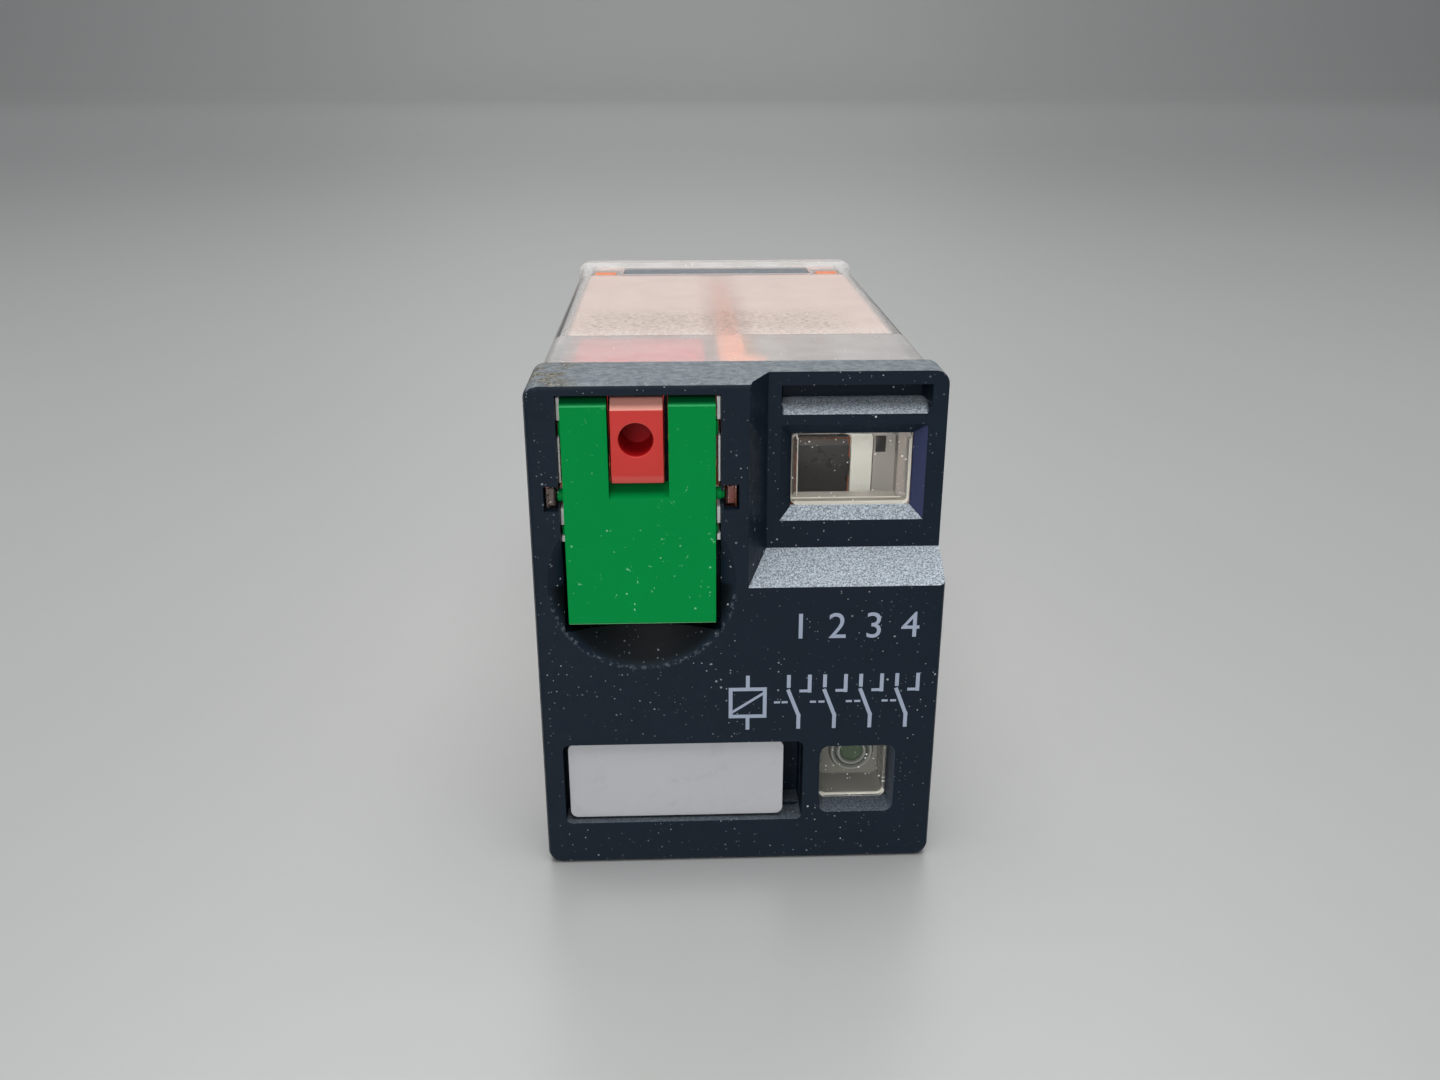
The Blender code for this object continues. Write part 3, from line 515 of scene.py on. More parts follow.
def clear_plastic():
    """Clear but hazy moulding; its top is frosted and scuffed between two straight edges."""
    f = Finish("clear_plastic", (0.97, 0.95, 0.93), 0.05, mottle=0.01, grain=0.6, depth=0.6)
    x, depth, height = f.axes()
    skin = (0.6, 0.4)
    up = f.span(height, HEIGHT - skin[0], HEIGHT - skin[1])
    side = f.span(f.maths('ABSOLUTE', x), HALF_WIDTH - skin[0], HALF_WIDTH - skin[1])
    frosted = (12.6, 34.0)
    panel = f.product(up, f.within(depth, *frosted, 0.08), f.within(x, -9.4, 9.4, 0.25))
    cloud = f.span(f.noise(0.7, 5, distortion=0.5), 0.3, 0.7, 0.86, 0.97)
    middle = f.product(f.within(x, -1.0, 0.9, 0.7), f.span(depth, 34.0, 12.0, 0.16, 0.40))
    ahead = f.product(up, f.span(depth, 12.7, 12.5), f.span(f.noise(0.5, 3), 0.3, 0.7, 0.40, 0.50))
    behind = f.product(up, f.span(depth, 33.9, 34.1), 0.38)
    haze = f.maths('MAXIMUM', f.maths('SUBTRACT', f.product(panel, cloud), middle, clamp=True),
                   f.maths('MAXIMUM', f.maths('MAXIMUM', ahead, behind), f.maths('MULTIPLY', side, 0.14)))
    f.tint(haze, (0.61, 0.595, 0.59))
    # painted light: a warm orange glow on the haze over the middle, standing in for the lit orange insulator
    # below
    f.tint(f.product(ahead, f.within(x, -0.7, 1.2, 0.4), 1.6), (1.0, 0.80, 0.69))
    f.tint(panel, (0.725, 0.595, 0.54))
    f.tint(f.product(panel, f.span(depth, 15.5, 12.6), f.span(f.noise(5.0, 4), 0.48, 0.58, 0.0, 0.8)),
           (0.90, 0.86, 0.80))
    streaks = make(f.tree, "ShaderNodeMapping", {"Vector": f.mm, "Scale": (3.5, 8.0, 1.0)}).outputs[0]
    near = f.product(panel, f.within(x, -9.0, 7.0, 1.0), f.within(depth, 13.4, 20.0, 1.6))
    f.tint(f.product(near, f.span(f.noise(1.0, 5, streaks), 0.48, 0.62, 0.0, 0.7)), (0.29, 0.245, 0.195))
    f.rough = f.span(haze, 0.0, 1.0, 0.05, 0.45)
    f.raise_by(f.product(panel, f.noise(6.0, 3)), 8.0)
    dust = f.product(up, f.specks(4.0, 0.22, 8.0))
    hidden = f.maths('ADD', f.maths('MULTIPLY', haze, 0.97), dust, clamp=True)
    see = f.maths('SUBTRACT', 1.0, hidden, clamp=True)
    f.tree.links.new(see, f.shader.inputs["Transmission Weight"])
    return f.set(IOR=1.35).done()


def glass_plastic():
    """Water-clear moulding of the two windows."""
    f = Finish("window_plastic", (0.98, 0.975, 0.95), 0.03, mottle=0.01, grain=1.5, depth=1.0)
    f.tree.links.new(f.maths('SUBTRACT', 1.0, f.specks(5.0, 0.3, 7.0), clamp=True),
                     f.shader.inputs["Transmission Weight"])
    return f.set(IOR=1.3).done()


def cloudy_plastic(name, colour, clearness, lip):
    """Clear moulding seen along its walls: cloudy, with painted highlights on the edges in front of the depth
    of its lip.
    """
    f = Finish(name, colour, 0.2, mottle=0.10, grain=3.0, depth=3.0)
    depth = f.axes()[1]
    # painted highlight: pale edges in front of the lip
    f.tint(f.span(depth, lip + 0.02, lip - 0.02), (0.86, 0.84, 0.77))
    return f.set(Transmission_Weight=clearness, IOR=1.35).done()


def white_edge():
    # painted light: opaque white that stands in for the light scattered in the clear cover's thin edges
    return Finish("cover_cheek", (0.93, 0.94, 0.92), 0.3, mottle=0.04, grain=5.0, depth=2.0).done()


def metal(name, colour, roughness, stretch=(1, 1, 1), mottle=0.08):
    f = Finish(name, colour, roughness, 1.0, mottle=mottle, grain=6.0, depth=2.0, stretch=stretch)
    return f.done()


def plastic(name, colour, roughness=0.42, mottle=0.07, grain=6.0, depth=3.0):
    return Finish(name, colour, roughness, mottle=mottle, grain=grain, depth=depth).done()


def copper_winding():
    f = Finish("copper_winding", (0.60, 0.20, 0.075), 0.3, 0.9, mottle=0.12, grain=6.0, depth=3.0)
    return f.done()


def lamp_plastic():
    """Tinted lamp: a green die in the middle, with pale and dark rings painted in for the reflections and
    refraction of its moulded dome.
    """
    f = Finish("green_lamp", (0.17, 0.18, 0.16), 0.12, mottle=0.12, grain=3.0, depth=2.0)
    x, depth, height = f.axes()
    radius = f.distance(x, height, LED_CENTRE)
    f.tint(f.span(radius, 0.66, 0.60), (0.045, 0.085, 0.040))
    f.tint(f.product(f.span(radius, 0.60, 0.50), f.span(f.noise(1.6, 2), 0.48, 0.56)), (0.075, 0.15, 0.055))
    # painted reflections: pale and dark rings that stand in for the dome's refraction
    for middle, half, colour in ((0.74, 0.04, (0.30, 0.31, 0.29)), (0.91, 0.06, (0.04, 0.05, 0.045)),
                                 (1.10, 0.04, (0.34, 0.34, 0.32)), (1.24, 0.04, (0.06, 0.07, 0.06))):
        f.tint(f.within(radius, middle - half, middle + half, 0.03), colour)
    f.tint(f.product(f.span(radius, 1.3, 1.36), f.span(depth, 4.9, 5.2)), (0.035, 0.13, 0.05))
    return f.set(IOR=1.5).done()


FINISHES = {
    "dark": dark_plastic(),
    "green": green_plastic(),
    "red": red_plastic(),
    "white": white_plastic(),
    "clear": clear_plastic(),
    "window": glass_plastic(),
    "flag_wall": cloudy_plastic("flag_window_wall", (0.50, 0.47, 0.42), 0.45, 3.26),
    "misty": cloudy_plastic("flag_window_block", (0.60, 0.56, 0.53), 0.72, 3.0),
    "led_wall": cloudy_plastic("led_window_wall", (0.27, 0.265, 0.235), 0.25, 1.52),
    "cheek": white_edge(),
    "print": plastic("print_ink", (0.37, 0.43, 0.55), 0.5, 0.08, 12.0, 2.0),
    "orange": plastic("orange_insulator", (0.85, 0.235, 0.085), 0.42),
    "rust": plastic("red_brown_plastic", (0.20, 0.042, 0.030), 0.45),
    "umber": plastic("grey_brown_plastic", (0.10, 0.065, 0.052), 0.45),
    "sealant": plastic("grey_sealant", (0.13, 0.15, 0.175), 0.35, 0.15, 2.0, 12.0),
    "black": plastic("black_plastic", (0.024, 0.022, 0.020), 0.32, 0.2, 5.0, 3.0),
    "smoke": plastic("grey_plastic", (0.46, 0.43, 0.40), 0.35),
    "cream": plastic("cream_plastic", (0.96, 0.95, 0.86), 0.4, 0.03),
    "iron": metal("plated_iron", (0.56, 0.55, 0.52), 0.34, (1, 1, 6)),
    "copper": metal("spring_copper", (0.83, 0.42, 0.24), 0.3, (6, 1, 1)),
    "tin": metal("tinned_brass", (0.66, 0.64, 0.58), 0.3, (5, 1, 1)),
    "silver": metal("silver_contact", (0.86, 0.85, 0.83), 0.25),
    "steel": metal("spring_steel", (0.58, 0.58, 0.58), 0.25),
    "winding": copper_winding(),
    "tape": plastic("yellow_tape", (0.70, 0.42, 0.06), 0.2, 0.1, 2.0, 3.0),
    "lamp": lamp_plastic(),
    "board": plastic("circuit_board", (0.02, 0.12, 0.045), 0.4, 0.15, 3.0, 4.0),
    "tan": plastic("resistor_body", (0.58, 0.40, 0.22), 0.35),
    "wire": plastic("wire_insulation", (0.03, 0.03, 0.035), 0.4),
}


# ---------------------------------------------------------------- housing

def front_plate():
    edge = 0.32
    outer = rounded(-HALF_WIDTH, HALF_WIDTH, 0, HEIGHT, 0.7)
    inner = rounded(edge - HALF_WIDTH, HALF_WIDTH - edge, edge, HEIGHT - edge, 0.5)
    middle = rounded(edge * 0.3 - HALF_WIDTH, HALF_WIDTH - edge * 0.3, edge * 0.3, HEIGHT - edge * 0.3, 0.65)
    skin = 0.8
    side, low, high = HALF_WIDTH - skin, skin, HEIGHT - skin
    backing_x, backing_z = 1.2, 24.2
    hollow = [(-side, low), (side, low), (side, backing_z), (backing_x, backing_z), (backing_x, high),
              (-side, high)]
    through = PLATE_WALL + 0.2
    cuts = [along_depth((PLATE_WALL, hollow), (PLATE_DEPTH + 1, hollow))]
    cuts += recess_cuts(through) + pocket_cuts(through) + low_cuts(through)
    plate = shaped("front_plate_shell", along_depth(
        (INK, inner), (edge * 0.3, middle), (edge, outer), (PLATE_DEPTH - 0.15, outer),
        (PLATE_DEPTH, rounded(0.1 - HALF_WIDTH, HALF_WIDTH - 0.1, 0.1, HEIGHT - 0.1, 0.6))), remove=cuts)
    dress(plate, FINISHES["dark"], "housing", "dark_plastic", "front_plate", edge=0.09, segments=3)


def recess_cuts(through):
    ahead = -0.5
    slope_x = (RECESS_FLOOR[0] - RECESS_EDGE[0]) / RECESS_DEPTH
    slope_z = (RECESS_FLOOR[1] - RECESS_EDGE[1]) / RECESS_DEPTH
    sections = []
    for depth in (ahead, RECESS_DEPTH):
        sections.append((depth, rectangle(RECESS_EDGE[0] + slope_x * depth, 2 * HALF_WIDTH,
                                          RECESS_EDGE[1] + slope_z * depth, HEIGHT + 1)))
    gx0, gx1, low, high = GROOVE
    start, step, rise, back = RECESS_DEPTH - 0.3, 1.1, 0.5, 4.0
    shape = [(start, low - rise * 0.3 / step), (RECESS_DEPTH + step, low + rise), (back, low + rise),
             (back, high), (start, high)]
    shallow = [(min(depth, RECESS_DEPTH + 0.02), height) for depth, height in shape]
    end = 0.22
    groove = loft([[(x, depth, height) for depth, height in outline] for x, outline in (
        (gx0, shallow), (gx0 + end, shape), (gx1 - end, shape), (gx1, shallow))])
    x0, x1, z0, z1 = FLAG_WINDOW
    window = rectangle(x0, x1, z0, z1)
    bevel = 0.6
    wide = bevel + 0.1
    mouth = rectangle(x0 - wide, x1 + wide, z0 - wide, z1 + wide)
    return [along_depth(*sections), groove,
            along_depth((RECESS_DEPTH - 0.1, mouth), (RECESS_DEPTH + bevel, window), (through, window))]


def pocket_cuts(through):
    floor = 1.7
    x0, x1, low, high = POCKET
    scoop_x, scoop_height, scoop_radius = SCOOP
    scoop_depth = 1.6
    radius = (scoop_radius ** 2 + scoop_depth ** 2) / (2 * scoop_depth)
    gap, notch = 0.08, 0.34
    cuts = [box(x0, x1, -1, through, POCKET_THROUGH, high), box(x0, x1, -1, floor, low, POCKET_THROUGH + 0.1),
            ball((scoop_x, scoop_depth - radius, scoop_height), radius)]
    for (lug0, lug1), (near, far) in zip(LUGS, ((-9.4, x0 + 0.1), (x1 - 0.1, -0.5))):
        cuts.append(box(lug0 - gap, lug1 + gap, -1, through, LUG_HEIGHT[0] - gap, LUG_HEIGHT[1] + gap))
        cuts.append(box(near, far, -1, through, HINGE[1] - notch, HINGE[1] + notch))
    return cuts


def low_cuts(through):
    x0, x1, z0, z1 = LED_WINDOW
    opening = rounded(x0, x1, z0, z1, 0.5)
    mouth = rounded(x0 - 0.1, x1 + 0.25, z0 - 0.25, z1 + 0.15, 0.5)
    tx0, tx1, tz0, tz1 = LEGEND_RECESS
    tray = rounded(tx0, tx1, tz0, tz1, 0.35)
    floor, slot_x, slot_depth = 1.4, 1.6, 2.6
    return [along_depth((-0.1, mouth), (0.9, opening), (through, opening)),
            along_depth((-1, tray), (floor, tray)),
            box(slot_x, tx1 - 0.05, floor - 0.5, slot_depth, tz0 + 0.2, tz1 - 0.2)]


def clear_cover():
    """Clear shell with a flared rear rim and a plug behind the front plate."""
    start, wall, inset = 5.0, 0.8, 0.25
    plug_front, plug_inset = 3.4, 1.1

    def outline(gap, radius=0.7):
        return rounded(gap - HALF_WIDTH, HALF_WIDTH - gap, gap, HEIGHT - gap, radius)

    rim = COVER_END - 1.5
    inside = start + wall
    gap = plug_inset + wall
    side, low, high = HALF_WIDTH - gap, gap, HEIGHT - gap
    step_x, step_z = 0.4, 23.2
    plug_hollow = [(-side, low), (side, low), (side, step_z), (step_x, step_z), (step_x, high), (-side, high)]
    hollow = outline(inset + wall, 0.4)
    recess_relief = (0.9, HALF_WIDTH, plug_front - 0.5, start + 0.1, 23.9, HEIGHT)
    cover = shaped("clear_cover_shell", along_depth(
        (plug_front, outline(plug_inset)), (start, outline(plug_inset)), (start, outline(inset)),
        (rim, outline(inset)), (rim + 0.25, outline(0)), (COVER_END, outline(0))), remove=[
            along_depth((inside, hollow), (COVER_END + 1, hollow)),
            along_depth((plug_front + wall, plug_hollow), (inside + 0.5, plug_hollow)),
            box(*recess_relief),
            box(*POCKET[:2], plug_front - 0.5, start - 0.1, POCKET_THROUGH, 26.1),
            box(*POCKET[:2], start - 0.2, inside + 0.1, POCKET_THROUGH, 25.9),
            box(*FLAG_WINDOW[:2], plug_front - 0.5, inside, *FLAG_WINDOW[2:]),
            box(*LED_WINDOW[:2], plug_front - 0.5, inside, *LED_WINDOW[2:]),
            box(*SEAL_GROOVE, HEIGHT - 0.7, HEIGHT + 1),
            *[box(x0, x1, *LATCH_HOLE[2:], HEIGHT / 2, HEIGHT + 1)
              for x0, x1 in (LATCH_HOLE[:2], (-LATCH_HOLE[1], -LATCH_HOLE[0]))]])
    cover.visible_shadow = False
    dress(cover, FINISHES["clear"], "housing", "clear_plastic", "clear_cover", edge=0.1)


def window_pane(name, window, front):
    """Clear pane with rounded corners that fills a window of the front plate."""
    gap, thickness = 0.05, 0.4
    x0, x1, z0, z1 = window
    outline = rounded(x0 + gap, x1 - gap, z0 + gap, z1 - gap, 0.35)
    inner = rounded(x0 + gap + 0.1, x1 - gap - 0.1, z0 + gap + 0.1, z1 - gap - 0.1, 0.3)
    pane = shaped(name, along_depth((front, inner), (front + 0.1, outline), (front + thickness, outline)))
    pane.visible_shadow = False
    dress(pane, FINISHES["window"], "housing", "clear_plastic", edge=0.03)


def flag_window():
    """Pane over the flag, with the clear box behind it: walls, shelf, pillar and thick right end."""
    front, wall, gap, back = 2.75, 0.13, 0.03, 4.15
    window_pane("flag_window_pane", FLAG_WINDOW, front)
    x0, x1, z0, z1 = FLAG_WINDOW
    start = front + 0.42
    outer = rounded(x0 + gap, x1 - gap, z0 + gap, z1 - gap, 0.25)
    left, right, low, high = x0 + gap + wall, x1 - gap - wall, z0 + gap + wall, z1 - gap - wall
    bore = rounded(left, right, low, high, 0.2)
    walls = shaped("flag_window_walls", along_depth((start, outer), (back, outer)),
                   remove=[along_depth((start - 0.1, bore), (back + 1, bore))])
    shelf = shaped("flag_window_shelf", box(left, right - 0.3, start + 0.03, back, low + 0.16, low + 0.22))
    pillar = shaped("flag_window_pillar", box(left + 0.16, left + 0.22, start + 0.03, back, low + 0.3, high))
    block = shaped("flag_window_block", box(right - 0.55, right, start + 0.1, back, low + 0.22, high))
    for item, finish in ((walls, "flag_wall"), (shelf, "flag_wall"), (pillar, "flag_wall"), (block, "misty")):
        item.visible_shadow = False
        dress(item, FINISHES[finish], "housing", "clear_plastic", edge=0.02)


def led_window():
    """Pane over the lamp, with a cloudy tray round the stepped lens that stands in front of the lamp."""
    front, floor, back = 1.0, 3.45, 3.8
    window_pane("led_window_pane", LED_WINDOW, front)
    x0, x1, z0, z1 = LED_WINDOW
    gap, wall, slant = 0.03, 0.13, 0.4
    start = front + 0.42
    outer = rounded(x0 + gap, x1 - gap, z0 + gap, z1 - gap, 0.4)

    def inner(spread):
        inset = gap + wall - spread
        return rounded(x0 + inset, x1 - inset, z0 + inset, z1 + 0.5, 0.35)

    hollow = along_depth((start - 0.1, inner(0.06)), (start + slant, inner(0)), (floor, inner(0)))
    tray = shaped("led_tray", along_depth((start, outer), (back, outer)), remove=[hollow])
    tray.visible_shadow = False
    dress(tray, FINISHES["led_wall"], "housing", "clear_plastic", edge=0.04)
    profile = ((3.38, 0.05), (3.38, 0.58), (3.16, 0.68), (3.16, 0.80), (3.32, 0.87), (3.32, 0.98),
               (3.2, 1.05), (3.2, 1.16), (3.42, 1.28), (4.9, 1.28))
    lens = shaped("lamp_lens", turned(*LED_CENTRE, profile, 64))
    dress(lens, FINISHES["lamp"], "housing", "green_lamp")


def hinge_lugs():
    """Clear lugs that hold the door's pins, with the brown plastic seen through them."""
    front, back, inset = 0.3, 3.9, 0.13
    core_front, core_back = 0.45, 3.8
    low, high = LUG_HEIGHT
    for side, (x0, x1) in zip(("left", "right"), LUGS):
        lug = shaped(f"hinge_lug_{side}", box(x0, x1, front, back, low, high))
        lug.visible_shadow = False
        dress(lug, FINISHES["window"], "housing", "clear_plastic", edge=0.05)
        core = shaped(f"hinge_lug_core_{side}", box(
            x0 + inset, x1 - inset, core_front, core_back, low + inset, high - inset))
        dress(core, FINISHES["umber" if side == "left" else "rust"], "housing", "orange_insulator", edge=0.03)


def cover_cheeks():
    """Thin edges of the clear cover that show between the door and its pocket, painted white for the light
    they scatter.
    """
    front, back, gap = 0.47, 3.9, 0.02
    runs = ((25.12, 26.25, 0.17), (21.95, 24.28, 0.10), (19.75, 20.62, 0.17), (18.85, 19.18, 0.17))
    for side, x, sign in (("left", POCKET[0], 1), ("right", POCKET[1], -1)):
        for number, (low, high, width) in enumerate(runs, 1):
            inner, outer = sorted((x + sign * gap, x + sign * (gap + width)))
            cheek = shaped(f"cover_cheek_{side}_{number}", box(inner, outer, front, back, low, high))
            dress(cheek, FINISHES["cheek"], "housing", "clear_plastic", edge=0.02)


def legend_tab():
    outline = rounded(-9.18, 2.37, 2.75, 7.3, 0.4)
    front, back = 0.35, 1.1
    tongue = box(1.77, 2.35, 0.9, 2.3, 3.15, 6.9)
    tab = shaped("legend_tab_face", along_depth((front, outline), (back, outline)), add=[tongue])
    dress(tab, FINISHES["white"], "tab", "white_plastic", "legend_tab", edge=0.07, segments=3)


def test_door():
    """Green leaf with a slot for the button, a ledge under the slot, and its hinge hubs and pins."""
    front, back, low, high, chamfer = 0.1, 1.4, 14.4, 26.25, 0.35
    x0, x1 = -8.78, -1.25
    outline = [(front, low + 0.12), (front + 0.1, low), (back, low), (back, high), (front + 0.45, high),
               (front + 0.22, high - 0.12), (front, high - chamfer)]
    slot_x, slot_low, ledge_high = (-6.52, -3.56), 21.2, 21.68
    shaft, hub, width = 0.26, 0.32, 0.3
    gap, root = 0.03, 0.5
    sides = [rod_across(*HINGE, shaft, LUGS[0][1] + gap, x0 + root),
             rod_across(*HINGE, shaft, x1 - root, LUGS[1][0] - gap)]
    tab_out, tab_in, tab_front, tab_back = 0.12, 0.3, 0.45, back - 0.1
    for height0, height1 in ((24.35, 25.05), (19.25, 19.65)):
        sides.append(box(x0 - tab_out, x0 + tab_in, tab_front, tab_back, height0, height1))
        sides.append(box(x1 - tab_in, x1 + tab_out, tab_front, tab_back, height0, height1))
    door = shaped("test_door_leaf", along_x(outline, x0, x1), add=sides,
                  remove=[box(*slot_x, -1, back + 1, slot_low, high + 1)])
    dress(door, FINISHES["green"], "door", "green_plastic", "test_door", edge=0.04)
    ledge = shaped("test_door_ledge", along_x([(front + 0.05, slot_low - 0.1), (back, slot_low - 0.1),
                                               (back, ledge_high), (front + 0.05, slot_low + 0.02)], *slot_x))
    dress(ledge, FINISHES["green"], "door", "green_plastic")
    for side, start, end in (("left", x0 - width, x0 + 0.1), ("right", x1 - 0.1, x1 + width)):
        boss = shaped(f"test_door_hub_{side}", rod_across(*HINGE, hub, start, end))
        dress(boss, FINISHES["green"], "door", "green_plastic", edge=0.03)


def test_button():
    """Red push button with its tool hole, and the dark ribs that guide it in the door's slot."""
    front, back, low, high = 0.05, 6.8, 21.94, 26.17
    neck_depth, neck_high = 3.2, 24.9
    outline = [(front, 22.44), (front + 0.25, low), (back, low), (back, neck_high), (neck_depth, neck_high),
               (neck_depth, high), (front + 0.7, high), (front, 25.7)]
    left, right = -6.37, -3.80
    wall = (-8.6, -1.6, 6.5, 7.8, 22.6, 25.78)
    apron = (-8.6, -1.6, 7.0, 13.2, 25.48, 25.78)
    leg = (-5.6, -3.9, 6.9, 7.8, 19.7, 23.0)
    finger = (-4.9, -3.9, 7.4, 9.6, 19.7, 21.0)
    radius, hole_depth, taper = 0.87, 2.5, 0.94
    button = shaped("test_button_head", along_x(outline, left, right),
                    add=[box(*part) for part in (wall, apron, leg, finger)],
                    remove=[turned(*BUTTON_HOLE, ((-1, radius), (hole_depth, radius * taper)))])
    dress(button, FINISHES["red"], "button", "red_plastic", "test_button", edge=0.05, segments=3)
    rib_depths, rib_heights = (1.6, 3.1), (21.4, 26.7)
    for side, x0, x1 in (("left", -6.50, -6.41), ("right", -3.76, -3.59)):
        rib = shaped(f"button_guide_{side}", box(x0, x1, *rib_depths, *rib_heights))
        dress(rib, FINISHES["dark"], "housing", "dark_plastic", edge=0.02)


# ---------------------------------------------------------------- printed marks

def ink(name, strokes):
    """Flat printed mark: thin strokes on the front face, fused into one."""
    mark = shaped(name, strokes[0], add=strokes[1:])
    dress(mark, FINISHES["print"], "housing", "white_plastic")


def bar(x0, z0, x1, z1, width=0.2):
    """Straight stroke of ink between two points of the front face."""
    along = Vector((x1 - x0, z1 - z0)).normalized() * width / 2
    across = Vector((-along.y, along.x))
    first, last = Vector((x0, z0)) - along, Vector((x1, z1)) + along
    outline = [tuple(first - across), tuple(last - across), tuple(last + across), tuple(first + across)]
    return along_depth((0, outline), (0.05, outline))


def pole_numbers():
    """A number over each contact of the wiring symbol."""
    size, thickness, height = 2.05, 0.04, 13.5
    for number in range(1, 5):
        curve = bpy.data.curves.new("number", 'FONT')
        curve.body = str(number)
        curve.size = size * MM
        curve.extrude = thickness / 2 * MM
        curve.align_x = 'CENTER'
        text = bpy.data.objects.new("number_text", curve)
        bpy.context.scene.collection.objects.link(text)
        text.location = place(contact_x(number), thickness / 2, height)
        text.rotation_euler = (math.pi / 2, 0, 0)
        bpy.context.view_layer.update()
        mesh = evaluated(text)
        mesh.transform(text.matrix_world)
        bpy.data.objects.remove(text)
        mark = bpy.data.objects.new(f"pole_number_{number}", mesh)
        bpy.context.scene.collection.objects.link(mark)
        dress(mark, FINISHES["print"], "housing", "white_plastic")


def contact_x(number):
    return 1.2 + 1.9 * number


def wiring_mark():
    """Wiring symbol of a relay: a coil, a dashed link and four changeover contacts."""
    low, high = 8.3, 11.3
    coil_low, coil_high, left, right = 9.0, 10.6, -0.5, 1.3
    coil_x = (left + right) / 2
    ink("symbol_coil", [bar(left, coil_low, right, coil_low), bar(left, coil_high, right, coil_high),
                        bar(left, coil_low, left, coil_high), bar(right, coil_low, right, coil_high),
                        bar(coil_x, low, coil_x, coil_low), bar(coil_x, coil_high, coil_x, high),
                        bar(left, coil_low + 0.2, right, coil_high - 0.2, 0.14)])
    reach = 0.55
    for number in range(1, 5):
        x = contact_x(number)
        ink(f"symbol_contact_{number}_arm", [bar(x, low, x, 9.0), bar(x, 9.0, x - reach, 10.45)])
        ink(f"symbol_contact_{number}_left", [bar(x - reach, 10.75, x - reach, high)])
        ink(f"symbol_contact_{number}_right", [bar(x + reach, 10.45, x + reach, high),
                                               bar(x + 0.1, 10.45, x + reach, 10.45, 0.16)])
        for dash, start in enumerate((-1.2, -0.8) if number == 1 else (-1.2, -0.75), 1):
            ink(f"symbol_link_{number}_{dash}", [bar(x + start - 0.05, 9.8, x + start + 0.15, 9.8, 0.12)])


# ---------------------------------------------------------------- flag and lamp

def position_flag():
    """Black plate with a cream marker and a grey end, on its stem from the carrier."""
    low, high, black_top, front, back = 19.0, 24.2, 22.7, 7.7, 8.6
    stem = (3.7, 5.1)
    black = shaped("flag_plate", box(3.3, 6.15, front, back, low, black_top), add=[
        box(*stem, back - 0.3, 11.3, 20.7, 21.5), box(*stem, 10.7, 11.3, 16.5, 21.5)])
    grey = shaped("flag_side", box(7.5, 8.9, front + 0.2, back, low, high))
    notch = shaped("flag_notch", box(7.6, 8.15, front + 0.05, front + 0.3, 22.2, high))
    bridge = shaped("flag_back", box(6.0, 8.6, back - 0.3, back + 0.1, 20.6, 21.6))
    marker = shaped("flag_marker_bar", box(6.25, 7.42, front - 0.1, front + 0.45, low, high))
    dress(lean(black), FINISHES["black"], "armature", "black_plastic", "position_flag", edge=0.06)
    dress(lean(marker), FINISHES["cream"], "armature", "cream_plastic", "flag_marker", edge=0.06)
    for item, finish in ((grey, "smoke"), (notch, "black"), (bridge, "black")):
        dress(lean(item), FINISHES[finish], "armature", "black_plastic", edge=0.05)


def led():
    """Lamp with a stepped dome, in its bezel."""
    x, z = LED_CENTRE
    radius, tip, steps = 1.5, 4.5, 18
    profile = []
    for i in range(steps + 1):
        angle = math.radians(3 + 87 * i / steps)
        ripple = 0.05 * math.sin(6 * angle)
        profile.append((tip + radius - radius * math.cos(angle) + ripple, radius * math.sin(angle)))
    lens = thing("led_lens", turned(x, z, profile + [(7.7, radius), (7.7, 1.85), (8.5, 1.85)], 64))
    dress(lens, FINISHES["lamp"], "housing", "green_lamp", "led")
    bezel = shaped("led_bezel", turned(x, z, ((5.6, 1.85), (5.8, 1.95), (7.4, 1.95))),
                   remove=[turned(x, z, ((5.0, 1.75), (8.0, 1.6)))])
    dress(bezel, FINISHES["smoke"], "housing", "black_plastic", edge=0.05)


# ---------------------------------------------------------------- carried-over nodes

def carry(finish, *names, edge=0.0):
    """Keeps CAD nodes as they are, with a finish of their own and eased edges."""
    for name in names:
        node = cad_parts[name]
        node.data.materials.clear()
        node.data.materials.append(FINISHES[finish])
        if edge:
            weld = node.modifiers.new("weld", 'WELD')
            weld.merge_threshold = 1e-6
            soften(node, edge)


def numbered(*stems):
    return [f"{stem}_{i}" for stem in stems for i in range(1, 5)]


def mechanism():
    carry("orange", "terminal_base", "contact_carrier", edge=0.06)
    carry("tin", *numbered("nc_terminal", "no_terminal", "com_terminal"), "coil_terminal_1",
          "coil_terminal_2", edge=0.04)
    carry("copper", *numbered("moving_spring"), "shading_ring")
    carry("silver", *numbered("nc_contact", "no_contact", "moving_contact"))
    carry("iron", "yoke", "armature", "core", edge=0.08)
    carry("black", "coil_bobbin", "led_diode", edge=0.06)
    carry("winding", "coil_winding", "coil_lead_1", "coil_lead_2")
    carry("tape", "coil_tape")
    carry("board", "led_board", edge=0.05)
    carry("tan", "led_resistor")
    carry("wire", "led_wire_1", "led_wire_2")


def rear_sealant():
    """Dark sealing strip in the groove of the cover's top, between the base's latches."""
    gap, low, high = 0.03, HEIGHT - 0.68, HEIGHT - 0.36
    x0, x1, front, back = SEAL_GROOVE
    strip = shaped("rear_sealant", box(x0 + gap, x1 - gap, front + gap, back - gap, low, high))
    dress(strip, FINISHES["sealant"], "housing", "black_plastic", edge=0.08)


